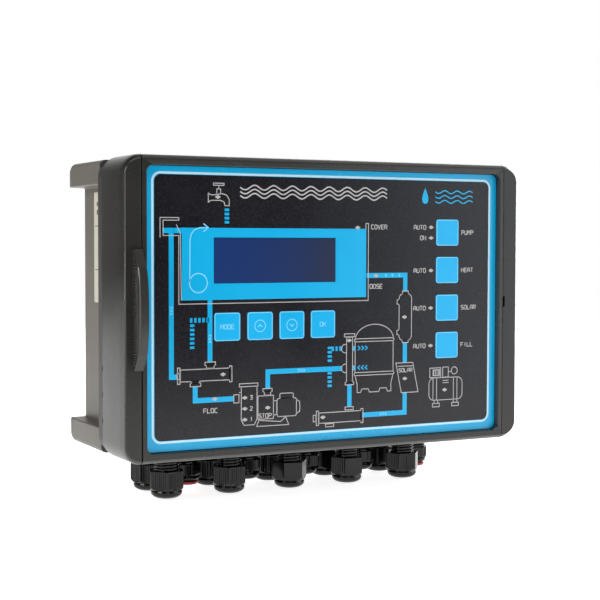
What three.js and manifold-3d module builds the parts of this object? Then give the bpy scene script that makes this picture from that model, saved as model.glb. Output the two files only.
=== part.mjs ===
// Wall-mounted pool controller: base shell, hinged lid with a membrane panel,
// lever latch strip with a bow handle, eight keys, cable glands and the boards inside.
// Millimetres. Origin at the centre of the flat back face, +Y into the wall,
// the front faces -Y, +X to the right, +Z up.
import * as THREE from "three";
import { mergeVertices } from "three/addons/utils/BufferGeometryUtils.js";
import Module from "manifold-3d";

const wasm = await Module();
wasm.setup();

// ---- driving dimensions ----
const HALF_W = 128, HALF_H = 84, CORNER_R = 10.5;      // lid outline
const LID_FRONT = -100, LID_REAR = -64, EDGE_BEVEL = 2.0;
const SKIRT_T = 3, FRONT_T = 3;
const PANEL_Y = -96, MEMBRANE_T = 0.8, FLOOR_FRONT = -95.1, FLOOR_REAR = -92.6;
const RECESS_HW = 114.75, RECESS_HH = 78.3, RECESS_R = 4;
const SEAM_L = 117.4, STRIP_L = 118.1, STRIP_R = 117.7;
const LEDGE_Y = -72.4, LEDGE_HW = 111.2, LEDGE_HH = 77.5;
const FLANGE_FRONT = -63, FLANGE_REAR = -56, FLANGE_HW = 127.5, FLANGE_HH = 83;
const BODY_HW = 126, BODY_HH = 82.6, BODY_R = 3, REAR_R = 5;
const CAV_HW = 113.4, CAV_HH = 79.5, CAV_BACK = -3;
const TONGUE_FRONT = -71, TONGUE_HW = 117, TONGUE_HH = 80.5, TONGUE_T = 2.5;
const SIDE_X = 116.4, SIDE_HZ = 68.5;                   // side recess floor and half height
const WALL_HOLE = { x: 121.7, z: 75.5, r: 2.3, head: 4.0 };
const HINGE = { x: 128.5, y: -63.5, z: 50, pin: 1.5, hole: 1.8, r: 3.2 };
const LATCH = { x: -119.9, y: -94.4, pin: 1.0, hole: 1.3, r: 2.2 };
const HANDLE = { x0: -122.4, x1: -118.3 };
const LCD = { x: -35.75, z: 26.4, w: 76.3, h: 25 };
const KEY = { size: 15.8, r: 1.5, hole: 16.4, front: -96.3, stem: 4, stemHole: 4.6, stemEnd: -84.6 };
const KEYS = [
  ["key_mode", -65.98, -10.54], ["key_up", -45.76, -10.54], ["key_down", -25.68, -10.54], ["key_ok", -5.6, -10.54],
  ["key_pump", 79.25, 42.53], ["key_heat", 79.25, 20.0], ["key_solar", 79.25, -2.73], ["key_fill", 79.25, -25.3],
];
const GLAND_X = [-84.5, -44.5, -4.5, 35.5, 75.5], GLAND_Y_FRONT = -51, GLAND_Y_REAR = -22;
const PLUG_X = [-64.5, -24.5, 15.5, 55.5, 95.5], PLUG_Y = -33;
const GLAND = { af: 19, top: -83.1, flange: -88.5, thread: 7.25, threadEnd: -99, inner: -71, bore: 5,
  nutTop: -96, nutHex: -107, bottom: -112, nutBore: 4.6, cup: 7.6, cupEnd: -100.5 };

// ---- helpers ----
function solid(geometry) {
  const g = geometry.clone();
  for (const n of ["normal", "uv"]) if (g.getAttribute(n)) g.deleteAttribute(n);
  const m = mergeVertices(g, 1e-4);
  const p = m.getAttribute("position").array, idx = m.getIndex().array;
  return new wasm.Manifold(new wasm.Mesh({
    numProp: 3, vertProperties: new Float32Array(p), triVerts: new Uint32Array(idx),
  }));
}
function geometryOf(manifold) {
  const mesh = manifold.getMesh();
  const g = new THREE.BufferGeometry();
  const n = mesh.numProp, src = mesh.vertProperties, count = src.length / n;
  const pos = new Float32Array(count * 3);
  for (let i = 0; i < count; i++) for (let k = 0; k < 3; k++) pos[3 * i + k] = src[n * i + k];
  g.setAttribute("position", new THREE.BufferAttribute(pos, 3));
  g.setIndex(new THREE.BufferAttribute(new Uint32Array(mesh.triVerts), 1));
  g.computeVertexNormals();
  return g;
}
const shapeOf = (pts) => new THREE.Shape(pts.map(([a, b]) => new THREE.Vector2(a, b)));
const BASIS_X = new THREE.Matrix4().makeBasis(new THREE.Vector3(0, 1, 0), new THREE.Vector3(0, 0, 1), new THREE.Vector3(1, 0, 0));
function extrude(pts, depth, bevel = 0, segments = 2) {
  return new THREE.ExtrudeGeometry(shapeOf(pts), bevel > 0
    ? { depth: depth - 2 * bevel, bevelEnabled: true, bevelThickness: bevel, bevelSize: bevel, bevelOffset: -bevel, bevelSegments: segments, steps: 1 }
    : { depth, bevelEnabled: false, steps: 1 });
}
// outline in X,Z swept along Y
function alongY(pts, y0, y1, bevel = 0, segments = 2) {
  const g = extrude(pts, y1 - y0, bevel, segments);
  g.rotateX(Math.PI / 2);
  g.translate(0, y1 - bevel, 0);
  return solid(g);
}
// outline in Y,Z swept along X
function alongX(pts, x0, x1, bevel = 0, segments = 1) {
  const g = extrude(pts, x1 - x0, bevel, segments);
  g.applyMatrix4(BASIS_X);
  g.translate(x0 + bevel, 0, 0);
  return solid(g);
}
// outline in X,Y swept along Z
function alongZ(pts, z0, z1) {
  const g = extrude(pts, z1 - z0);
  g.translate(0, 0, z0);
  return solid(g);
}
function block(x0, x1, y0, y1, z0, z1) {
  const g = new THREE.BoxGeometry(x1 - x0, y1 - y0, z1 - z0);
  g.translate((x0 + x1) / 2, (y0 + y1) / 2, (z0 + z1) / 2);
  return solid(g);
}
function roundRect(hw, hh, r, n = 4, cx = 0, cz = 0) {
  const pts = [];
  for (const [sx, sz, a0] of [[1, 1, 0], [-1, 1, 90], [-1, -1, 180], [1, -1, 270]])
    for (let i = 0; i <= n; i++) {
      const a = (a0 + 90 * i / n) * Math.PI / 180;
      pts.push([cx + sx * (hw - r) + r * Math.cos(a), cz + sz * (hh - r) + r * Math.sin(a)]);
    }
  return pts;
}
function disc(cx, cy, r, n) {
  return Array.from({ length: n }, (_, i) => {
    const a = (i + 0.5) * 2 * Math.PI / n;
    return [cx + r * Math.cos(a), cy + r * Math.sin(a)];
  });
}
const rodZ = (x, y, r, z0, z1, n = 12) => alongZ(disc(x, y, r, n), z0, z1);
const rodY = (x, z, r, y0, y1, n = 12) => alongY(disc(x, z, r, n), y0, y1);
function hexPts(x, y, af) {
  const r = af / Math.sqrt(3);
  return Array.from({ length: 6 }, (_, i) => {
    const a = (i * 60 + 30) * Math.PI / 180;
    return [x + r * Math.cos(a), y + r * Math.sin(a)];
  });
}
// profile of [radius, z] turned about a vertical axis at x,y
function turned(x, y, profile, n = 16) {
  const g = new THREE.LatheGeometry(profile.map(([r, z]) => new THREE.Vector2(r, z)), n);
  g.rotateX(Math.PI / 2);
  g.rotateZ(Math.PI / n);
  g.translate(x, y, 0);
  return solid(g);
}
const join = (...s) => s.reduce((a, b) => a.add(b));
const cut = (a, ...s) => s.reduce((m, b) => m.subtract(b), a);

const object = new THREE.Group();
object.name = "pool_controller";
function node(name, body, colour, roughness, metalness = 0, opacity = 1) {
  const mesh = new THREE.Mesh(geometryOf(body), new THREE.MeshStandardMaterial({
    color: colour, roughness, metalness, transparent: opacity < 1, opacity,
  }));
  mesh.name = name;
  object.add(mesh);
  return mesh;
}
const GREY = 0x3b3c39, BASE_GREY = 0x45443f, BLACK = 0x1c1a19, BLUE = 0x05a5e4, OVERLAY = 0x1b1a22;
const STEEL = 0xa8a9ab, BOARD = 0x1d5a38, GREEN = 0x3c8f4f;

// ---- base shell ----
{
  const side = [];                                       // outline in Y,Z with rounded rear corners
  side.push([FLANGE_REAR - 0.5, BODY_HH]);
  for (let i = 0; i <= 5; i++) {
    const a = (90 - 18 * i) * Math.PI / 180;
    side.push([-REAR_R + REAR_R * Math.cos(a), BODY_HH - REAR_R + REAR_R * Math.sin(a)]);
  }
  for (let i = 0; i <= 5; i++) {
    const a = (-18 * i) * Math.PI / 180;
    side.push([-REAR_R + REAR_R * Math.cos(a), -BODY_HH + REAR_R + REAR_R * Math.sin(a)]);
  }
  side.push([FLANGE_REAR - 0.5, -BODY_HH]);
  const body = alongX(side, -BODY_HW - 1, BODY_HW + 1).intersect(alongY(roundRect(BODY_HW, BODY_HH, BODY_R), FLANGE_REAR - 0.4, 1));
  const flange = alongY(roundRect(FLANGE_HW, FLANGE_HH, CORNER_R), FLANGE_FRONT, FLANGE_REAR);
  const tongue = alongY(roundRect(TONGUE_HW, TONGUE_HH, 4, 2), TONGUE_FRONT, FLANGE_FRONT + 1);
  let s = join(body, flange, tongue);
  // hollow, following the rounded rear corners
  const rr = REAR_R + CAV_BACK, inner = [[-62, CAV_HH]];
  for (let i = 0; i <= 3; i++) {
    const a = (90 - 30 * i) * Math.PI / 180;
    inner.push([CAV_BACK - rr + rr * Math.cos(a), CAV_HH - rr + rr * Math.sin(a)]);
  }
  for (let i = 0; i <= 3; i++) {
    const a = (-30 * i) * Math.PI / 180;
    inner.push([CAV_BACK - rr + rr * Math.cos(a), -CAV_HH + rr + rr * Math.sin(a)]);
  }
  inner.push([-62, -CAV_HH]);
  s = cut(s, alongX(inner, -CAV_HW, CAV_HW),
    alongY(roundRect(CAV_HW, TONGUE_HH - TONGUE_T, 2, 1), TONGUE_FRONT - 1, -61.9));
  // side recesses between the corner lugs
  for (const q of [-1, 1]) {
    const xa = q * SIDE_X, xb = q * (BODY_HW + 5);
    s = s.subtract(block(Math.min(xa, xb), Math.max(xa, xb), FLANGE_REAR, 1, -SIDE_HZ, SIDE_HZ));
  }
  // wall screw holes through the lugs, with a head recess
  for (const q of [-1, 1]) for (const t of [-1, 1]) {
    s = cut(s, rodY(q * WALL_HOLE.x, t * WALL_HOLE.z, WALL_HOLE.r, FLANGE_FRONT - 1, 1),
      rodY(q * WALL_HOLE.x, t * WALL_HOLE.z, WALL_HOLE.head, FLANGE_FRONT - 1, FLANGE_FRONT + 5));
  }
  // cable entry holes in the floor
  for (const x of GLAND_X) for (const y of [GLAND_Y_FRONT, GLAND_Y_REAR]) s = s.subtract(rodZ(x, y, 7.6, -86, -78.5, 16));
  for (const x of PLUG_X) s = s.subtract(rodZ(x, PLUG_Y, 7.6, -86, -78.5, 16));
  // board standoffs
  for (const q of [-1, 1]) for (const z of [-36, 58]) s = s.add(rodY(q * 94, z, 4, -8.1, CAV_BACK + 0.5, 8));
  // hinge knuckles on the right
  for (const t of [-1, 1]) {
    const c = t * HINGE.z;
    s = s.subtract(rodZ(HINGE.x, HINGE.y, HINGE.r + 0.5, c - 4.4, c + 4.4, 16));
    for (const [a, b] of [[c - 10, c - 4.4], [c + 4.4, c + 10]]) {
      s = s.add(join(rodZ(HINGE.x, HINGE.y, HINGE.r, a, b, 12),
        alongZ([[125.6, -62.6], [126.4, -57.2], [131.2, -62.2], [130.6, -64.5], [126, -64.5]], a, b)));
      s = s.subtract(rodZ(HINGE.x, HINGE.y, HINGE.hole, a - 0.2, b + 0.2, 12));
    }
  }
  // keepers of the latch on the left
  for (const t of [-1, 1]) s = s.add(block(-122.6, -120, -66.4, FLANGE_FRONT + 0.5, t * 30 - 4, t * 30 + 4));
  node("base_shell", s, BASE_GREY, 0.5);
}

// ---- lid: outer form shared by the frame and the two strips ----
const lidOuter = alongY(roundRect(HALF_W, HALF_H, CORNER_R, 5), LID_FRONT, LID_REAR + EDGE_BEVEL + 2, EDGE_BEVEL, 3)
  .intersect(block(-200, 200, LID_FRONT - 1, LID_REAR, -200, 200));
const channel = alongY(roundRect(HALF_W - SKIRT_T, HALF_H - SKIRT_T, CORNER_R - SKIRT_T, 4), LID_FRONT + FRONT_T, LID_REAR + 1);
{
  let s = lidOuter.intersect(block(-SEAM_L, SEAM_L, -101, -60, -90, 90));
  s = cut(s, alongY(roundRect(RECESS_HW, RECESS_HH, RECESS_R, 3), LID_FRONT - 1, FLOOR_FRONT),
    alongY(roundRect(LEDGE_HW, LEDGE_HH, 3, 2), FLOOR_REAR, LEDGE_Y + 1),
    block(-SEAM_L - 1, SEAM_L + 1, LEDGE_Y, LID_REAR + 1, -HALF_H + SKIRT_T, HALF_H - SKIRT_T));
  // display opening, key pockets and stem holes in the panel
  s = s.subtract(block(LCD.x - LCD.w / 2 - 0.5, LCD.x + LCD.w / 2 + 0.5, -96, -91, LCD.z - LCD.h / 2 - 0.5, LCD.z + LCD.h / 2 + 0.5));
  for (const [, x, z] of KEYS) s = cut(s,
    block(x - 8.2, x + 8.2, -96, -94.4, z - 8.2, z + 8.2),
    block(x - KEY.stemHole, x + KEY.stemHole, -96, -91, z - KEY.stemHole, z + KEY.stemHole));
  // posts for the display board
  for (const x of [-76, 91]) for (const z of [-50, 51.5]) s = s.add(rodY(x, z, 3, FLOOR_REAR - 0.5, -84.3, 8));
  // hinge arms
  for (const t of [-1, 1]) {
    const c = t * HINGE.z;
    const arm = join(alongZ([[116.6, -84], [119.5, -84], [124.2, -70.5], [125.2, -68], [128.5, -66.6], [128.5, -64], [124.5, -64.3], [119.5, -72.9], [116.6, -72.9]], c - 4, c + 4),
      rodZ(HINGE.x, HINGE.y, HINGE.r, c - 4, c + 4, 12));
    s = s.add(arm.subtract(rodZ(HINGE.x, HINGE.y, HINGE.hole, c - 5, c + 5, 12)));
  }
  // lugs for the latch pin
  for (const t of [-1, 1]) {
    const lug = join(rodZ(LATCH.x, LATCH.y, LATCH.r, t * 57 - 3, t * 57 + 3, 12), block(LATCH.x, -117, LATCH.y - 2, LATCH.y + 2, t * 57 - 3, t * 57 + 3));
    s = s.add(lug.subtract(rodZ(LATCH.x, LATCH.y, LATCH.hole, t * 57 - 4, t * 57 + 4, 12)));
  }
  node("lid_frame", s, GREY, 0.42);
}
// right strip, clipped over the hinge side, with a pry slot at the seam
{
  let s = cut(lidOuter.intersect(block(STRIP_R, 140, -101, -60, -90, 90)), channel);
  s = cut(s, block(STRIP_R - 1, STRIP_R + 1.3, -101, -96, -2.8, 3.7));
  for (const t of [-1, 1]) s = s.subtract(block(123.5, 129, -69.6, -60, t * HINGE.z - 11.5, t * HINGE.z + 11.5));
  node("right_strip", s, GREY, 0.42);
}
// left strip: lever latch with the bow handle
{
  let s = cut(lidOuter.intersect(block(-140, -STRIP_L, -101, -60, -90, 90)), channel);
  for (const z of [34, 48.5, 63]) for (const t of [-1, 1])
    s = s.subtract(block(-129, -124, LID_REAR - 1.5, LID_REAR + 1, t * z - 2, t * z + 2));
  const bow = [[-99, 33.2], [-100.6, 33.2], [-102.8, 32.2], [-108.6, 23.5], [-110.9, 15], [-112, 5], [-112, -6], [-111.2, -15],
    [-109.6, -23.4], [-103, -32], [-101.2, -33], [-99, -33]];
  s = s.add(alongX(bow, HANDLE.x0, HANDLE.x1));
  for (const t of [-1, 1]) {
    const kn = join(rodZ(LATCH.x, LATCH.y, LATCH.r, t * 65 - 3.5, t * 65 + 3.5, 12), block(LATCH.x - 2, LATCH.x + 1.7, LID_FRONT + FRONT_T - 0.5, LATCH.y, t * 65 - 3.5, t * 65 + 3.5));
    s = s.add(kn.subtract(rodZ(LATCH.x, LATCH.y, LATCH.hole, t * 65 - 4.5, t * 65 + 4.5, 12)));
    s = s.add(block(-125.5, -124, -69, -66.8, t * 30 - 4, t * 30 + 4));
  }
  node("latch_strip", s, GREY, 0.42);
}
node("latch_pin", rodZ(LATCH.x, LATCH.y, LATCH.pin, -70, 70, 10), STEEL, 0.3, 0.9);
node("latch_spring", join(
  turned(LATCH.x, LATCH.y, [[1.35, 40], [2.1, 40], [2.1, 46], [1.35, 46], [1.35, 40]], 12),
  block(LATCH.x + 1.45, -117.8, LATCH.y - 0.3, LATCH.y + 0.3, 44.6, 45.4)), STEEL, 0.3, 0.9);
for (const [name, t] of [["hinge_pin_lower", -1], ["hinge_pin_upper", 1]])
  node(name, rodZ(HINGE.x, HINGE.y, HINGE.pin, t * HINGE.z - 9.8, t * HINGE.z + 9.8, 12), STEEL, 0.3, 0.9);
node("lid_gasket", alongY(roundRect(117.2, 80.7, 4, 2), -72.3, -71.3).subtract(alongY(roundRect(113.7, 77.7, 2, 2), -73, -70)), 0x2b2b2b, 0.8);

// ---- panel ----
{
  let s = alongY(roundRect(RECESS_HW - 0.3, RECESS_HH - 0.3, RECESS_R - 0.3, 3), PANEL_Y, PANEL_Y + MEMBRANE_T);
  s = s.subtract(block(LCD.x - LCD.w / 2 - 0.3, LCD.x + LCD.w / 2 + 0.3, -97, -94, LCD.z - LCD.h / 2 - 0.3, LCD.z + LCD.h / 2 + 0.3));
  for (const [, x, z] of KEYS) s = s.subtract(alongY(roundRect(KEY.hole / 2, KEY.hole / 2, KEY.r + 0.3, 2, x, z), -97, -94));
  node("membrane_overlay", s, OVERLAY, 0.4);
}
for (const [name, x, z] of KEYS)
  node(name, join(alongY(roundRect(KEY.size / 2, KEY.size / 2, KEY.r, 2, x, z), KEY.front, -95.2),
    block(x - KEY.stem, x + KEY.stem, -95.3, KEY.stemEnd, z - KEY.stem, z + KEY.stem)), BLUE, 0.4);
node("display_window", block(LCD.x - LCD.w / 2, LCD.x + LCD.w / 2, PANEL_Y, PANEL_Y + MEMBRANE_T, LCD.z - LCD.h / 2, LCD.z + LCD.h / 2), 0x1b3a78, 0.2, 0, 0.4);
node("display_module", join(block(LCD.x - LCD.w / 2, LCD.x + LCD.w / 2, -95, -92, LCD.z - LCD.h / 2, LCD.z + LCD.h / 2),
  block(LCD.x - 48.5, LCD.x + 48.5, -92.3, -84.3, LCD.z - 19.5, LCD.z + 19.5)), 0x16244a, 0.3);
node("display_board", block(-82, 97, -84, -82.4, -56, 57), BOARD, 0.5);

// ---- boards and parts inside the base ----
node("main_board", block(-102, 102, -9.8, -8.2, -44, 66), BOARD, 0.5);
node("transformer", join(block(-90, -46, -42, -10.1, 12, 50), block(-82, -54, -38, -10.1, 4, 58)), 0x33302c, 0.5);
[["relay_1", -36], ["relay_2", -12], ["relay_3", 12], ["relay_4", 36]].forEach(([name, x]) =>
  node(name, block(x - 9.5, x + 9.5, -25.5, -10.1, -14, 1.5), 0x1f2a6b, 0.35));
for (const [name, x0] of [["terminal_block_left", -96], ["terminal_block_right", 4]]) {
  let s = block(x0, x0 + 92, -24, -10.1, -41, -28);
  for (let i = 0; i < 9; i++) s = s.subtract(block(x0 + 2.6 + 10 * i, x0 + 9.4 + 10 * i, -20, -13, -42, -33));
  node(name, s, GREEN, 0.45);
}
node("fuse_holder", block(54, 78, -22, -10.1, 40, 50), BLACK, 0.4);
node("capacitor", rodY(30, 44, 9, -40, -10.1, 16), 0x1a1a22, 0.35);
node("rating_label", block(-116.8, -116.5, -48, -18, 1, 65.5), 0xbcb7aa, 0.6);

// ---- cable glands ----
[["front", GLAND_Y_FRONT], ["rear", GLAND_Y_REAR]].forEach(([row, y]) => GLAND_X.forEach((x, i) => {
  const b = join(alongZ(hexPts(x, y, GLAND.af), GLAND.flange, GLAND.top),
    rodZ(x, y, GLAND.thread, GLAND.threadEnd, GLAND.inner, 16)).subtract(rodZ(x, y, GLAND.bore, -120, -60, 16));
  node(`gland_body_${row}_${i + 1}`, b, BLACK, 0.4);
  const n = cut(join(alongZ(hexPts(x, y, GLAND.af), GLAND.nutHex, GLAND.nutTop),
    turned(x, y, [[0, GLAND.bottom], [6.2, GLAND.bottom], [7.9, GLAND.bottom + 1], [8.9, GLAND.bottom + 3], [9.1, GLAND.nutHex + 0.3], [0, GLAND.nutHex + 0.3]], 16)),
    rodZ(x, y, GLAND.cup, GLAND.cupEnd, GLAND.nutTop + 1, 16), rodZ(x, y, GLAND.nutBore, -120, -90, 16));
  node(`gland_nut_${row}_${i + 1}`, n, BLACK, 0.4);
}));
PLUG_X.forEach((x, i) => {
  const capped = i === 0 || i === PLUG_X.length - 1;
  const end = capped ? -106.4 : -108.2;
  node(`blank_plug_${i + 1}`, turned(x, PLUG_Y, [[0, end], [7.6, end], [8.6, end + 1.2], [8.6, GLAND.top], [7.25, GLAND.top], [7.25, -75], [0, -75]], 14), BLACK, 0.4);
  if (capped) node(`plug_cap_${i + 1}`, turned(x, PLUG_Y, [[0, -108.4], [5.8, -108.4], [6.6, -107.6], [6.6, -106.7], [0, -106.7]], 14), 0x9a1d1d, 0.4);
});

export default object;
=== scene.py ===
import bpy
import bmesh
import math
from mathutils import Matrix, Vector


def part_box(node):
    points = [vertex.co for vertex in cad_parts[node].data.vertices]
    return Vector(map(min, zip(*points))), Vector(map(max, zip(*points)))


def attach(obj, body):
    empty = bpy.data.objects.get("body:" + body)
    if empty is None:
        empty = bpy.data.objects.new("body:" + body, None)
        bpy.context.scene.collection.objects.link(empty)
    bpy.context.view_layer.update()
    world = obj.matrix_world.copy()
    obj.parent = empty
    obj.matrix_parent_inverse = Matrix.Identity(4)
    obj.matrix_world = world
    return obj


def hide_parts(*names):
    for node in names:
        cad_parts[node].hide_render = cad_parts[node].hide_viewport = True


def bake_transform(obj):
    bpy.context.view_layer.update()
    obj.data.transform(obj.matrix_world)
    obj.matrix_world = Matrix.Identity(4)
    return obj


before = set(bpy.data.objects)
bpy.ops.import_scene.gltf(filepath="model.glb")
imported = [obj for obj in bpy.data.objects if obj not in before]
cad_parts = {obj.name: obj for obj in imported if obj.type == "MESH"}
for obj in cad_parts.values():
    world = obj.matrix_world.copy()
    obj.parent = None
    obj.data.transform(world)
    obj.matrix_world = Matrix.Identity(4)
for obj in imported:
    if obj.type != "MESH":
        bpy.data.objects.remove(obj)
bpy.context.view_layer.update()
MM = 0.001
COLL = bpy.context.scene.collection


# ---------------------------------------------------------------- helpers
def new_object(name, verts, faces):
    me = bpy.data.meshes.new(name)
    me.from_pydata([(x * MM, y * MM, z * MM) for x, y, z in verts], [], faces)
    me.update()
    ob = bpy.data.objects.new(name, me)
    COLL.objects.link(ob)
    return ob


def fix_normals(ob):
    bm = bmesh.new()
    bm.from_mesh(ob.data)
    bmesh.ops.remove_doubles(bm, verts=bm.verts, dist=1e-7)
    bmesh.ops.recalc_face_normals(bm, faces=bm.faces)
    bm.to_mesh(ob.data)
    bm.free()
    return ob


def loft_data(rings, closed=False):
    """Quads between rings of points. closed joins the last ring to the first, otherwise both ends are capped."""
    n = len(rings[0])
    verts = [p for r in rings for p in r]
    faces = []
    k = len(rings)
    for i in range(k if closed else k - 1):
        a, b = i * n, ((i + 1) % k) * n
        for j in range(n):
            j2 = (j + 1) % n
            faces.append((a + j, a + j2, b + j2, b + j))
    if not closed:
        faces.append(tuple(range(n)))
        faces.append(tuple((k - 1) * n + j for j in reversed(range(n))))
    return verts, faces


def loft(name, rings, closed=False):
    v, f = loft_data(rings, closed)
    return fix_normals(new_object(name, v, f))


def rr(hw, hh, r, n=10, cx=0.0, cz=0.0):
    """Rounded rectangle outline."""
    pts = []
    for sx, sz, a0 in ((1, 1, 0), (-1, 1, 90), (-1, -1, 180), (1, -1, 270)):
        for i in range(n + 1):
            a = math.radians(a0 + 90 * i / n)
            pts.append((cx + sx * (hw - r) + r * math.cos(a), cz + sz * (hh - r) + r * math.sin(a)))
    return pts


def prism_y(name, sections, n=10, cx=0.0, cz=0.0):
    """Rounded rectangle sections (y, hw, hh, r) joined along Y."""
    return loft(name, [[(x, y, z) for x, z in rr(hw, hh, r, n, cx, cz)] for y, hw, hh, r in sections])


def box(name, x0, x1, y0, y1, z0, z1):
    v = [(x, y, z) for x in (x0, x1) for y in (y0, y1) for z in (z0, z1)]
    f = [(0, 1, 3, 2), (4, 6, 7, 5), (0, 4, 5, 1), (2, 3, 7, 6), (0, 2, 6, 4), (1, 5, 7, 3)]
    return fix_normals(new_object(name, v, f))


def soft_box(name, x0, x1, y0, y1, z0, z1, bevel=0.4, segments=3):
    ob = box(name, x0, x1, y0, y1, z0, z1)
    bm = bmesh.new()
    bm.from_mesh(ob.data)
    bmesh.ops.bevel(bm, geom=bm.edges[:], offset=bevel * MM, segments=segments, profile=0.5, affect="EDGES")
    bm.to_mesh(ob.data)
    bm.free()
    return ob


def rod(name, axis, a, b, r, lo, hi, n=32):
    """Cylinder along X, Y or Z through (a, b) in the other two axes."""
    def pt(t, h):
        u, v = a + r * math.cos(t), b + r * math.sin(t)
        return {"x": (h, u, v), "y": (u, h, v), "z": (u, v, h)}[axis]
    rings = [[pt(2 * math.pi * i / n, h) for i in range(n)] for h in (lo, hi)]
    return loft(name, rings)


def lathe(name, profile, n=48, closed=False, x=0.0, y=0.0, axis="z"):
    """Profile of (r, z), turned about a vertical axis (or along Y: (r, y))."""
    rings = []
    for r, h in profile:
        ring = []
        for i in range(n):
            t = 2 * math.pi * i / n
            c, s = max(r, 1e-4) * math.cos(t), max(r, 1e-4) * math.sin(t)
            ring.append((x + c, y + s, h) if axis == "z" else (x + c, h, y + s))
        rings.append(ring)
    return loft(name, rings, closed)


def boolean(ob, cutters, operation="DIFFERENCE"):
    for c in cutters:
        m = ob.modifiers.new("b", "BOOLEAN")
        m.operation = operation
        m.solver = "EXACT"
        m.object = c
        dg = bpy.context.evaluated_depsgraph_get()
        dg.update()
        me = bpy.data.meshes.new_from_object(ob.evaluated_get(dg))
        ob.modifiers.clear()
        old = ob.data
        ob.data = me
        bpy.data.meshes.remove(old)
        bpy.data.objects.remove(c)
    return ob


def join(name, obs):
    """Joins closed solids into one mesh object without a boolean."""
    bm = bmesh.new()
    for o in obs:
        me = o.data.copy()
        me.transform(o.matrix_world)
        bm.from_mesh(me)
        bpy.data.meshes.remove(me)
    me = bpy.data.meshes.new(name)
    bm.to_mesh(me)
    bm.free()
    for o in obs:
        bpy.data.objects.remove(o)
    ob = bpy.data.objects.new(name, me)
    COLL.objects.link(ob)
    return ob


def dress(ob, mat, angle=32, weighted=True):
    me = ob.data
    me.materials.clear()
    me.materials.append(mat)
    for p in me.polygons:
        p.use_smooth = True
    me.set_sharp_from_angle(angle=math.radians(angle))
    if weighted:
        w = ob.modifiers.new("wn", "WEIGHTED_NORMAL")
        w.keep_sharp = True
        w.weight = 60
    return ob


def place(ob, body, nodes=()):
    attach(ob, body)
    if nodes:
        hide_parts(*nodes)
    return ob


# ---------------------------------------------------------------- materials
def mat_new(name):
    m = bpy.data.materials.new(name)
    m.use_nodes = True
    nt = m.node_tree
    nt.nodes.clear()
    out = nt.nodes.new("ShaderNodeOutputMaterial")
    bs = nt.nodes.new("ShaderNodeBsdfPrincipled")
    nt.links.new(bs.outputs["BSDF"], out.inputs["Surface"])
    return m, nt, bs


def srgb(r, g, b):
    def f(c):
        c /= 255.0
        return c / 12.92 if c <= 0.04045 else ((c + 0.055) / 1.055) ** 2.4
    return (f(r), f(g), f(b), 1.0)


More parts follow.
